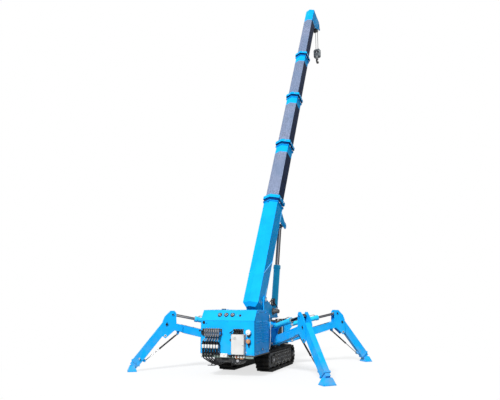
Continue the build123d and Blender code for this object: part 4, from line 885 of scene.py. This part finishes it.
def hood_details():
    p = Piece("hood_fittings", "chassis", WORLD, ["dark"])
    hood_seams(p)
    p.use("blue")
    louvres(p)
    hood_hardware(p)
    # key switch on the slope and the dark lock high on the left of the rear door
    p.use("frame").turned([(17, 0), (17, 2), (15, 3)], (176, 79, 0), segments=28, place=SLOPE)
    p.use("black").turned([(13, 3), (13, 11), (11, 13), (7, 13)], (176, 79, 0), segments=26, place=SLOPE)
    p.use("steel").box((174.6, 71, 12), (177.4, 87, 15.5), 0.6, SLOPE)
    p.use("zinc").turned([(4, 0), (4, 2.5)], (130, 84, 0), segments=10, place=SLOPE)
    p.use("dark").turned([(21, 0), (21, 6), (18, 9), (10, 10)], (-350, 712, 0), segments=28, place=REAR)
    ring = [(12, 0), (17, 1), (17, 6), (11, 9), (6, 9)]
    p.use("blue").turned(ring, (-318, 708, 0), place=REAR)
    p.use("dark").box((-320, 701, 6.4), (-316, 715, 7.6), 0.4, REAR)
    # screws round the rear door, and its handle
    p.use("blue")
    for x in (-380, -200, 0, 200, 372):
        p.bolt((x, 322 if abs(x) > 250 else 728, 0), "Z", 4.5, 3, REAR)
    p.use("black").turned([(15, 0), (15, 8), (11, 12), (6, 12)], (56, 486, 0), segments=22, place=REAR)
    p.use("zinc").turned([(5, 12), (5, 15), (3, 16)], (56, 486, 0), segments=12, place=REAR)
    # grey-green sealing strip along the bottom of the rear face
    p.use("frame").box((-392, 282, -3), (392, 296, 5), 2.0, REAR)
    p.use("seal").box((-380, 252, -6), (386, 282, 3), 3.0, REAR)
    p.use("zinc")
    for k in range(9):
        p.bolt((-352 + 88 * k, 267, 3), "Z", 4.5, 3, REAR)
    # ribbed filler cap on the top
    p.use("black").turned([(34, 0), (34, 10), (31, 13), (12, 13)], (-860, 280, HOOD_TOP), segments=32)
    for x, y in circle(33, 8):
        p.box((-863 + x, 277 + y, 879), (-857 + x, 283 + y, 888), 1.0)
    p.done()


def valve_bank():
    p = Piece("valve_bank_body", "chassis", REAR, ["silver"])
    # mounting plate, seven slices and their tie rods
    p.use("frame").box((-372, 536, 0), (-72, 630, 8), 2.0)
    p.use("silver")
    for k in range(7):
        x = VALVES_AT + (k - 3) * 33.0
        p.box((x - 11.5, 541, 8), (x + 11.5, 622, 80), 3.0)
        p.box((x - 7, 556, 80), (x + 7, 600, 85))
        p.use("dark").box((x - 4, 566, 84.6), (x + 4, 592, 85.6), 0.5).use("silver")
    p.use("blue").box((-310, 548, 8), (-82, 612, 58), 1.0)
    p.use("dark").box((-366, 560, 8), (-318, 600, 52), 3.0)
    p.tube([(-392, 603, 60), (-60, 603, 60)], 6.5, 12, smooth=False)
    p.use("black").turned([(11, 0), (11, 14), (8, 18)], (-392, 603, 60), "X", 18)
    p.use("zinc")
    for y in (554.0, 612.0):
        for x, axis in ((-307, "-X"), (-85, "X")):
            p.bolt((x, y, 30), axis, 6, 6)
    # bonnets, caps and hose adapters over and under each spool
    p.use("cast").box((-306, 620, 20), (-86, 632, 74), 2.0)
    for k in range(6):
        x = VALVES_AT + (k - 2.5) * SPOOL_PITCH
        p.use("zinc").turned([(8, 632), (8, 638), (6, 640), (6, 643)], (x, 0, 34), "Y", 6)
        p.use("tan").turned([(6, 632), (6, 637)], (x + 12, 0, 58), "Y", 8)
        p.use("silver").turned([(12.5, 541), (12.5, 531), (10, 528), (10, 524)], (x, 0, 60), "Y", 20)
    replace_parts(p.done(), "valve_bank")


VALVES_AT = -196.0
SPOOL_PITCH = 36.0
BOOT = [
    (8, 474), (11, 468), (10, 464), (14, 458), (13, 453),
    (18, 446), (17, 441), (20, 434), (19, 428), (14, 426),
]
GRIP = [(13, 427), (16.5, 424), (17, 404), (15.5, 382), (13, 377)]
SLEEVE = [
    (14, 377), (15.5, 372), (13, 366), (14.5, 356), (13, 346), (14.5, 336), (13, 322), (11, 304), (8, 300),
]


def levers():
    """Six hand levers below the valves, and the small knobs over the control box."""
    p = Piece("hand_levers", "chassis", REAR, ["white"])
    for k in range(6):
        x = -222 + (k - 2.5) * 42.0
        top = VALVES_AT + (k - 2.5) * SPOOL_PITCH
        p.use("dark").turned([(12, 524), (12, 512), (9, 508)], (top, 0, 60), "Y", 12)
        p.use("silver").tube([(top, 512, 60), ((top + x) / 2, 490, 60), (x, 466, 60)], 8.5, 12)
        p.use("soft").turned(BOOT, (x, 0, 60), "Y", 20)
        p.use("white").turned(GRIP, (x, 0, 60), "Y", 22)
        p.use("black").turned(SLEEVE, (x, 0, 60), "Y", 18)
        p.use("frame").box((x - 3, 302, 10), (x + 3, 322, 56), 1.0)
    # dark gate plate behind the boots, and its stays
    p.use("black").solid([standing(-336, -108, 462, 32, 42), standing(-358, -86, 428, 32, 42)], 1.5)
    p.use("frame").box((-352, 300, 0), (-92, 318, 12), 2.0)
    for x in (-350, -100):
        p.box((x, 318, 30), (x + 6, 440, 40), 1.0)
    # two rows of small black knobs on threaded stems
    for x in (120.0, 155.0, 190.0, 225.0):
        for y in (618.0, 582.0):
            p.use("zinc").turned([(9, 0), (9, 5), (5, 6), (5, 26)], (x, y, 0), "Z", 6)
            p.use("black").turned([(9, 24), (13.5, 30), (14, 42), (12, 50), (6, 52)], (x, y, 0), "Z", 20)
    p.use("frame").box((100, 566, 0), (244, 634, 5), 2.0)
    p.use("black").tube([(100, 606, 30), (82, 596, 36), (66, 586, 38), (52, 578, 30)], 6.0, 12)
    p.use("zinc").turned([(8, 0), (8, 32), (6, 36)], (64, 587, 0), "Z", 6)
    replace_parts(p.done(), "levers")


def control_box():
    p = Piece("control_box_shell", "chassis", REAR, ["grey"])
    left, right, low, high, out = 91.0, 277.0, 305.0, 566.0, 72.0
    p.box((left, low, 3), (right, high, out - 9), 5.0, segments=3)
    p.use("dark").box((left + 3, low + 3, out - 10), (right - 3, high - 3, out - 6), 1.0)
    p.use("grey").box((left, low, out - 7), (right, high, out), 4.0, segments=3)
    p.use("frame")
    for y in (340, 525):
        p.box((left - 3, y - 16, out - 22), (left + 2, y + 16, out - 2), 1.0)
        p.turned([(3.5, -16), (3.5, 16)], (left - 2, y, out - 9), "Y", 12)
    p.use("dark")
    for x in (118, 138, 158):
        p.box((x, 492, out - 1), (x + 5, 536, out + 0.7), 0.6)
    p.use("zinc")
    for x in (left + 12, right - 12):
        for y in (low + 12, high - 12):
            p.turned([(5, out), (5, out + 2), (3, out + 2.6)], (x, y, 0), "Z", 14)
    p.use("steel").turned([(8, out), (8, out + 3), (6, out + 4)], (right - 16, 430, 0), "Z", 20)
    p.use("dark").box((right - 20, 429, out + 3.6), (right - 12, 431, out + 4.4), 0.2)
    p.use("grey")
    for x in (left - 8, right - 6):
        for y in (330, 540):
            p.box((x, y - 11, 0), (x + 14, y + 11, 3), 0.8)
    # cable glands below, and their cables
    p.use("black")
    glands = [left + 32 + 40 * k for k in range(4)]
    for x in glands:
        p.turned([(10, low), (10, low - 6)], (x, 0, 36), "Y", 6)
        p.turned([(8, low - 6), (8, low - 12), (6, low - 15)], (x, 0, 36), "Y", 14)
    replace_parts(p.done(), "control_box")
    x = HOOD_REAR - 36
    for k, gland in enumerate(glands):
        y = -gland
        route = [(x, y, low - 12), (x, y, low - 42), (x + 34, y + 10, low - 62), (x + 90, y + 14, low - 70)]
        hose(f"box_cable_{k + 1}", "chassis", route, 9.0)


def lamp_and_button():
    at = (322, 591, 0)
    p = Piece("lamp_body", "chassis", REAR, ["white"])
    p.use("black").turned([(20, 0), (20, 8), (14, 10), (14, 14)], at, segments=26)
    bowl = [(24, 12), (33, 16), (36, 22), (36, 34), (33, 41), (24, 45), (8, 46)]
    p.use("white").turned(bowl, at, segments=40)
    p.use("zinc").turned([(37.2, 23), (37.2, 27), (36, 27.5)], at, segments=40)
    p.use("dark").turned([(4, 46), (4, 47)], (322, 583, 0), segments=14)
    p.use("black").box((300, 536, 0), (344, 556, 30), 4.0)
    p.box((310, 552, 4), (334, 566, 14), 2.0)
    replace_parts(p.done(), "lamp")
    at = (322, 477, 0)
    p = Piece("stop_button_head", "chassis", REAR, ["red"])
    p.use("black").turned([(26, 0), (26, 4), (22, 6), (16, 6), (16, 26)], at, segments=32)
    p.use("tan").turned([(20, 26), (28, 29), (30, 34), (30, 40), (26, 45), (12, 46)], at, segments=36)
    p.use("red").turned([(30.4, 30), (30.4, 36), (29.5, 37)], at, segments=36)
    # Painted highlight: a small white glint on the button's top.
    p.use("white").box((317, 488, 45.2), (327, 491, 46.3), 0.3)
    p.use("red").box((288, 460, 0), (294, 496, 24), 2.0)
    p.use("black").box((312, 436, 0), (334, 452, 12), 2.0)
    p.solid([standing(314, 332, 440, 4, 22), standing(320, 328, 392, 6, 16)], 2.0)
    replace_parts(p.done(), "stop_button")


def tail_boxes():
    """Small boxes and lamps along the bottom of the rear face."""
    p = Piece("tail_boxes", "chassis", REAR, ["white"])
    p.box((-82, 262, 5), (22, 312, 40), 4.0, segments=3)
    p.use("dark").box((-78, 300, 39.4), (18, 301.6, 40.5), 0.2)
    p.use("tan").turned([(7, 40), (7, 43), (5, 44)], (-22, 284, 0), segments=16)
    p.use("zinc")
    for x in (-72, 12):
        p.bolt((x, 272, 40), "Z", 4, 2.5, washer=False)
    p.use("white").box((120, 262, 5), (268, 296, 30), 4.0)
    p.use("tan").box((132, 250, 6), (176, 264, 26), 3.0)
    p.box((196, 246, 6), (250, 262, 26), 3.0)
    p.use("red").turned([(8, 30), (8, 34), (6, 35)], (150, 278, 0), segments=16)
    p.use("white").box((-388, 262, 5), (-350, 300, 26), 3.0)
    p.use("zinc").turned([(6, 262), (6, 250), (4, 248)], (-369, 0, 16), "Y", 6)
    p.use("black").box((40, 266, 5), (86, 296, 22), 3.0)
    p.done()


def tow_bar():
    """Ribs, cross member, towing eye and the two drive housings under the tail plate."""
    p = Piece("tow_bar", "chassis", WORLD, ["frame"])
    for y in (-185, -62, 62, 185):
        p.box((-1340, y - 5, 206), (-720, y + 5, 280))
    p.box((-1352, -190, 196), (-1336, 190, 280), 2.0)
    p.use("steel").turned([(16, 0), (20, 3), (20, 13), (16, 16)], (-1359, -153, 222), "X", 26)
    p.use("zinc")
    for y in (-170, -110, 110, 170):
        p.bolt((-1352, y, 262), "-X", 7, 6)
    p.use("cast")
    p.turned([(62, -1290), (66, -1284), (66, -1120), (60, -1112), (30, -1112)], (0, -122, 222), "X", 32)
    p.turned([(50, -1270), (54, -1264), (54, -1150), (48, -1142), (26, -1142)], (0, 118, 226), "X", 32)
    p.use("zinc")
    for y, z in circle(48, 6):
        p.bolt((-1290, y - 122, z + 222), "-X", 5, 5)
    p.done()


def tail_hoses():
    """Hoses from the levers under the hood, held by the tail plate's clips, and a pale cable in front."""
    routes = [
        [(-1398, y, 300), (-1403, y - 6, 254), (-1394, y - 50, 228), (-1376, (y + 157) / 2 - 14, 190 + 8 * k),
         (-1340, 157 - 20 * k, 150 + 10 * k), (-1240, 140 - 20 * k, 160 + 6 * k), (-1130, 110 - 20 * k, 214)]
        for k, y in enumerate((350, 308, 266, 224))
    ]
    for k, route in enumerate(routes):
        hose(f"spool_hose_{k + 1}", "chassis", route, 17.0)
    p = Piece("hose_clips", "chassis", WORLD, ["zinc"])
    for (x, y, z), *_ in routes:
        p.turned([(11, 0), (11, -14), (9, -18)], (x, y, z + 6), "Z", 6)
    p.use("frame").box((-1344, 190, 140), (-1300, 300, 146), 2.0)
    p.box((-1328, 236, 146), (-1316, 248, 282), 1.0)
    p.done()
    cable = [(-776, -404, 806), (-762, -410, 720), (-752, -412, 600), (-756, -410, 480), (-776, -404, 330)]
    hose("mast_cable", "chassis", cable, 9.0, "white")


# Tracks, turret and boom
def running_gear():
    cover = (
        (-465, 84), (335, 84), (375, 120), (375, 198), (335, 234), (-465, 234), (-497, 198), (-497, 120),
    )
    for name, side, axis in (("left", 1, "Y"), ("right", -1, "-Y")):
        p = Piece(f"track_{name}_fittings", "chassis", WORLD, ["frame"])
        face = side * TRACK_SIDE
        # cover plate, channel ribs, a dark disc as the painted shade inside the tensioner hole, and screws
        p.use("track_plate").plate(cover, face, face + side * 5, 1.5)
        p.use("frame").box((-440, face, 150), (330, face + side * 8, 168), 2.0)
        for x in (-360, -190, -20, 150, 290):
            p.box((x - 6, face, 96), (x + 6, face + side * 8, 222))
        p.use("dark").turned([(26, 0), (26, 6)], (-275, face, 196), axis)
        p.use("zinc")
        for x in (-420, -310, -240, -70, 30, 110, 200, 300):
            for z in (214, 104):
                p.bolt((x, face + side * 5, z), axis, 6, 5)
        # roller axle caps
        for x in (-290.0, -120.0, 50.0, 220.0):
            p.use("cast").turned([(24, 0), (24, 8), (18, 11), (6, 11)], (x, face, 84), axis, 26)
            p.use("zinc").bolt((x, face + side * 11, 84), axis, 7, 4, washer=False)
        # end hubs
        for x in HUBS:
            at = (x, face, HUB_HEIGHT)
            p.use("cast").turned([(56, 0), (56, 6), (44, 12), (40, 18), (12, 18)], at, axis, 40)
            p.use("zinc")
            for dx, dz in circle(49, 8, 22.5):
                p.bolt((x + dx, face + side * 7, HUB_HEIGHT + dz), axis, 5, 4, washer=False)
            p.use("steel").turned([(14, 18), (14, 21), (10, 22)], at, axis)
        p.done()


def turret_side(p, side, axis, room):
    """Fittings of one cheek: foot pin, welds, bolts, luffing pin and winch flange."""
    face = side * room
    at = (FOOT_PIN[0], face, FOOT_PIN[1])
    p.use("blue").turned([(50, 0), (50, 4), (46, 6), (30, 6)], at, axis, 40)
    p.use("steel").turned([(24, 8), (27, 9), (27, 13), (23, 15), (8, 15)], at, axis, 32)
    p.use("zinc")
    for x, z in circle(40, 4, 45):
        p.bolt((FOOT_PIN[0] + x, face + side * 6, FOOT_PIN[1] + z), axis, 4.5, 4, washer=False)
    p.turned([(3.5, 15), (3.5, 20), (2, 22)], at, axis, 8)
    p.use("blue")
    p.tube([(x, face - side, 752) for x in (-225, 20, 262)], 3.5, 6, smooth=False)
    for x in (-120, 60):
        p.plate(((x - 5, 690), (x + 5, 690), (x + 5, 734), (x - 5, 734)), side * 106, side * 150)
    p.use("zinc")
    for x in (-200, -60, 160, 240):
        p.bolt((x, side * (room - 12), 750), "Z", 6, 5)
    y = side * 54.0
    p.use("steel").turned([(21, 0), (21, 3), (17, 5), (6, 5)], (LUFF_PIN[0], y, LUFF_PIN[1]), axis, 26)
    p.use("blue").box((463, y, 752), (511, y - side * 5, 764), 1.0)
    p.use("frame").turned([(58, 0), (58, 4), (52, 7), (20, 7)], (WINCH[0], face, WINCH[1]), axis, 36)
    p.use("zinc")
    for x, z in circle(47, 6):
        p.bolt((WINCH[0] + x, face + side * 5, WINCH[1] + z), axis, 5, 4, washer=False)


def turret_details():
    room = BOOM_HALF + 24.0
    p = Piece("turret_fittings", "turret", TURRET, ["zinc"])
    for x, y in circle(168, 20, 9):
        p.bolt((x, y, 491.0), "Z", 8, 7)
    for side, axis in FACING.items():
        turret_side(p, side, axis, room)
    # winch motor on the right, brake cover on the left
    motor = [(40, 0), (40, -26), (33, -34), (33, -92), (28, -98), (12, -98)]
    p.use("cast").turned(motor, (WINCH[0], -room - 7, WINCH[1]), "Y", 30)
    p.use("zinc")
    for x in (-16, 16):
        p.turned([(9, 0), (9, 22), (7, 24)], (WINCH[0] + x, -room - 60, WINCH[1] + 30), "Z", 6)
    p.use("frame").turned([(36, 0), (36, 20), (30, 26), (10, 26)], (WINCH[0], room + 7, WINCH[1]), "Y", 30)
    # lock valve on the column's right and cover on its rear
    ports = (-36, 0, 36)
    p.use("cast").box((-60, -140, 560), (60, -106, 640), 4.0)
    p.use("zinc")
    for x in ports:
        p.turned([(9, 0), (9, 14), (7, 16)], (x, -123, 640), "Z", 6)
        p.turned([(9, 0), (9, 14), (7, 16)], (x, -123, 560), "-Z", 6)
    for x in (-90, 90):
        for z in (530, 690):
            for side, axis in FACING.items():
                p.bolt((x, side * 105, z), axis, 6, 5)
    p.use("frame").box((-194, -80, 512), (-175, 80, 700), 3.0)
    p.use("zinc")
    for y in (-64, 64):
        for z in (528, 684):
            p.bolt((-194, y, z), "-X", 6, 5)
    p.done()
    for k, x in enumerate(ports):
        route = ((x, -123, 655), (x + 6, -136, 690), (x + 30, -132, 716), (x + 40, -112, 728))
        hose(f"turret_hose_{k + 1}", "turret", [spot(TURRET, at) for at in route], 15.0)


def winch_rope():
    """Layers of rope on the drum, and the bolts of its flanges."""
    p = Piece("winch_rope_lay", "winch_drum", TURRET, ["rope"])
    for k in range(14):
        y = -68 + 10.4 * k
        strand = [(60, y - 5.2), (64, y - 3.2), (65.4, y), (64, y + 3.2), (60, y + 5.2)]
        p.turned(strand, (WINCH[0], 0, WINCH[1]), "Y", 40)
    p.use("zinc")
    for side, axis in FACING.items():
        for x, z in circle(68, 6, 15):
            p.bolt((WINCH[0] + x, side * 88, WINCH[1] + z), axis, 4, 3, washer=False)
    p.done()


LUFF_LINE = tilted(TURRET, *LUFF_PIN, 79.155)
LUFF_LENGTH = 1567.9


def luffing_cylinder():
    p = Piece("luff_cylinder_fittings", "luff_barrel", LUFF_LINE, ["cylinder"])
    p.turned([(56.2, 70), (62, 74), (62, 104), (58, 110), (56.2, 112)], axis="X", segments=40)
    p.turned([(56.2, 770), (63, 776), (63, 826), (60, 832), (38, 834)], axis="X", segments=40)
    p.use("steel").turned([(50, 833), (50, 840), (46, 843), (37.5, 843)], axis="X", segments=36)
    p.use("zinc")
    for y, z in circle(56, 8, 22.5):
        p.turned([(5, 833), (5, 839), (4, 840)], (0, y, z), "X", 6)
    # port block, pipe up the barrel and its clamps
    ports = (140, 176, 212)
    p.use("cast").box((118, -32, 54), (236, 32, 88), 4.0)
    p.use("zinc")
    for x in ports:
        p.turned([(11, 0), (11, 8), (8, 11)], (x, 0, 88), "Z", 6)
    p.turned([(11, 56), (11, 74)], (796, 0, 0), "-Z", 6)
    p.use("cylinder")
    p.tube([(796, 0, -70), (760, 0, -74), (520, 0, -70), (300, 0, -70), (150, 0, -66)], 7.0, 12)
    for x in (330, 640):
        p.box((x - 8, -16, -80), (x + 8, 16, -54), 2.0)
    p.done()
    # hoses that loop from the port block down to the table, held on both sides of the barrel
    for k, (x, side) in enumerate(zip(ports, (1, -1, 1))):
        route = (
            (x, 0, 84), (x - 4, side * 20, 98), (x - 46, side * 60, 84), (x - 80, side * 72, 36),
            (80, side * 54, 6),
        )
        hose(f"luff_hose_{k + 1}", "luff_barrel", [spot(LUFF_LINE, at) for at in route], 16.0)
    end = LUFF_LENGTH
    p = Piece("luff_rod_fittings", "luff_rod", LUFF_LINE, ["steel"])
    p.turned([(36.2, end - 66), (43, end - 60), (43, end - 46), (36.2, end - 42)], axis="X", segments=8)
    p.use("zinc").turned([(4, 0), (4, 6), (2.5, 9), (3, 11)], (end, 0, -44), "Z", 8)
    p.done()


RIDGE_SLOPE = radians(22)


def boom_ridge(number):
    """Half width of a section, and the heights of its shoulder and ridge over the boom's axis."""
    inset = BOOM_INSET * (number - 1)
    half = BOOM_HALF - inset
    ridge = 115.0 + BOOM_HALF * tan(RIDGE_SLOPE) - inset / cos(RIDGE_SLOPE)
    return half, ridge - half * tan(RIDGE_SLOPE), ridge


def base_section():
    half, shoulder, ridge = boom_ridge(1)
    p = Piece("boom_1_fittings", "boom_1", BOOM, ["blue"])
    for side, axis in FACING.items():
        outer = side * (half + 3)
        # tail doubler with its slanted weld, which is pale as a painted highlight, two short pale strips that
        # are painted highlights only, and the long welds along the corners
        p.use("blue").plate(((-118, -113), (712, -113), (380, 113), (-118, 113)), side * half, outer)
        p.use("pale_highlight").row([(712, outer, -113), (380, outer, 113)], 6.0)
        # Painted highlights only: a short pale strip by the lower corner near the mouth, and another near the
        # foot pin.
        p.row([(x, side * (half + 1), 4 - shoulder) for x in (1500, 1760)], 6.0)
        p.row([(x, outer, -82) for x in (70, 210)], 5.0)
        p.use("blue")
        for z in (1 - shoulder, shoulder - 1):
            p.row([(x, side * (half - 1), z) for x in (-120, 1775)], 3.0)
        # ring round the foot pin, pads' adjusters at the mouth and the tail's bolts
        ring = [(54, 0), (54, 3), (50, 4), (46, 4)]
        p.use("steel").turned(ring, (0, side * half, -AXIS_ABOVE_PIN), axis, 40)
        p.use("white")
        for x, proud in ((COLLAR_1 - 114, 16), (COLLAR_1 - 30, 26)):
            for z in (-62, 62):
                p.bolt((x, side * (half + proud), z), axis, 8, 6)
        p.use("zinc")
        for x in (-100, -70):
            for z in (-70, 0, 70):
                p.bolt((x, outer, z), axis, 5, 4)
        # doubler round the eye of the luffing cylinder
        p.use("blue").turned([(62, 0), (62, 4), (58, 6), (36, 6)], (1606, side * 100.0, -392), axis, 36)
    # small dark patch near the mouth, the painted shade of the wear pad's slot
    flat = BOOM @ Matrix.Translation((1760, 0, ridge)) @ Matrix.Rotation(-RIDGE_SLOPE, 4, "X")
    p.use("dark").box((-26, 26, -4), (26, 40, 1.0), 0.5, flat)
    p.done()


def sliding_section(number):
    """Bolts of the pads round one section's collar."""
    half, shoulder, ridge = boom_ridge(number)
    mouth = COLLAR_1 + (number - 1) * STEP
    p = Piece(f"boom_{number}_fittings", f"boom_{number}", BOOM, ["white"])
    for side, axis in FACING.items():
        for z in (-shoulder * 0.55, shoulder * 0.55):
            for x, proud in ((mouth - 30, 26), (mouth - 115, 16)):
                p.bolt((x, side * (half + proud), z), axis, 7, 6)
    p.use("zinc")
    for side in SIDES:
        for sign, axis in ((-1, "-Z"), (1, "Z")):
            centre = Matrix.Translation((mouth - 30, 0, sign * (ridge + 26 / cos(RIDGE_SLOPE))))
            flat = BOOM @ centre @ Matrix.Rotation(-side * sign * RIDGE_SLOPE, 4, "X")
            p.bolt((0, side * half * 0.55, 0), axis, 7, 6, flat)
    p.done()


def boom_head():
    half = boom_ridge(SECTIONS)[0]
    sx, sz = SHEAVE
    p = Piece("head_fittings", "boom_5", BOOM, ["blue"])
    doubler = ((-330, -96), (-40, -96), (-30, -220), (-120, -262), (-210, -262))
    for side, axis in FACING.items():
        face = side * half
        p.use("white").turned([(15, 0), (22, 1), (22, 6), (17, 9), (5, 9)], (sx, face, sz), axis, 28)
        p.turned([(9, 0), (13, 1), (13, 5), (9, 7), (3, 7)], (sx + 84, face, sz + 74), axis, 22)
        p.use("zinc")
        for x, z in ((-380, 20), (-380, -60), (-300, -100), (-60, -40), (-40, -90), (-160, -180)):
            p.bolt((HEAD_AT + x, face, z), axis, 6, 5)
        p.use("blue").plate([(HEAD_AT + x, z) for x, z in doubler], face, face + side * 3)
    # cross tubes, dark bar and end cap screws
    p.use("steel")
    p.tube([(sx + 84, y, sz + 74) for y in (-half, half)], 8.0, 14, smooth=False)
    p.tube([(sx - 74, y, sz + 86) for y in (4 - half, half - 4)], 8.0, 14, smooth=False)
    p.use("dark").box((HEAD_AT - 250, 13 - half, -212), (HEAD_AT - 232, half - 13, -110), 1.0)
    p.use("zinc")
    for y in (-60, 0, 60):
        for z in (-50, 50):
            p.bolt((HEAD_AT, y, z), "X", 6, 5)
    p.done()


FALLS = (-25.0, 25.0)
LAY_STEPS = 184
STRANDS = 5


def falls(hang, low, high, block_top):
    """Two falls of laid rope under the head, and their sockets."""
    p = Piece("hoist_falls", "boom_5", hang, ["rope"])
    for y in FALLS:
        for strand in range(STRANDS):
            points = []
            for i in range(LAY_STEPS + 1):
                a = 2 * pi * (i / 8 + strand / STRANDS)
                points.append((3.3 * cos(a), y + 3.3 * sin(a), low + (high - low) * i / LAY_STEPS))
            p.tube(points, 2.8, 6, smooth=False)
    p.use("zinc")
    for y in FALLS:
        p.turned([(8, -4), (10, 0), (10, 26), (6, 32)], (0, y, block_top), "Z", 14)
    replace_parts(p.done(80.0), "hoist_rope")


def block_fittings(hang, bottom, top):
    """Cheeks of the block: dark arch round the sheave, grey band, dark foot between two light legs."""
    p = Piece("block_fittings", "hook", hang, ["block"])
    arch = [(54 * cos(pi * k / 12), 50 * sin(pi * k / 12) + top - 92) for k in range(13)]
    for side in SIDES:
        out = side * 25.4
        axis = "X" if side > 0 else "-X"
        near, far = sorted((out, out + side * 4))
        p.use("dark").solid([[(x, y, z) for y, z in arch] for x in (near + 0.6, far - 2.2)])
        p.use("block").box((near, -76, top - 134), (far + 1, 76, top - 96))
        p.use("dark")
        for y0, y1 in ((-70, -34), (34, 70)):
            p.box((near, y0, bottom + 6), (far - 2.0, y1, bottom + 46), 1.0)
        p.use("white").box((near, -26, bottom + 4), (far, 26, bottom + 52), 2.0)
        p.use("steel").turned([(18, side), (18, 7), (14, 9), (5, 9)], (out, 0, top - 84), axis, 26)
        p.use("dark")
        for y in (-62, 62):
            for z in (top - 26, top - 115, bottom + 76):
                p.bolt((out + side * 2, y, z), axis, 6, 5)
    for side in SIDES:
        p.box((-15.5, side * 70, bottom + 34), (15.5, side * 81, top - 34), 3.0)
    p.done()


def tackle():
    """The falls, the block and the nut of the hook, hung plumb in the turret's heading."""
    h = radians(SLEW)
    block_low, block_high = [Vector(corner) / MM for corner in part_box("hook_block")]
    rope_low, rope_high = [Vector(corner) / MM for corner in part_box("hoist_rope")]
    hook_high = Vector(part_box("hook")[1]) / MM
    middle = (rope_low + rope_high) / 2
    hang = axes((middle.x, middle.y, 0), (cos(h), sin(h), 0), (0, 0, 1))
    falls(hang, rope_low.z, rope_high.z, block_high.z)
    block_fittings(hang, block_low.z, block_high.z)
    top = hook_high.z
    p = Piece("hook_fittings", "hook", hang, ["cast"])
    p.use("steel").turned([(22, top - 4), (26, top - 8), (26, top - 24), (20, top - 28)], segments=6)
    p.use("zinc").turned([(30, top), (30, top - 5)], segments=28)
    p.done()


gauges()
hood_details()
valve_bank()
levers()
control_box()
lamp_and_button()
tail_boxes()
tow_bar()
tail_hoses()
running_gear()
turret_details()
winch_rope()
luffing_cylinder()
base_section()
for number in range(2, SECTIONS):
    sliding_section(number)
boom_head()
tackle()
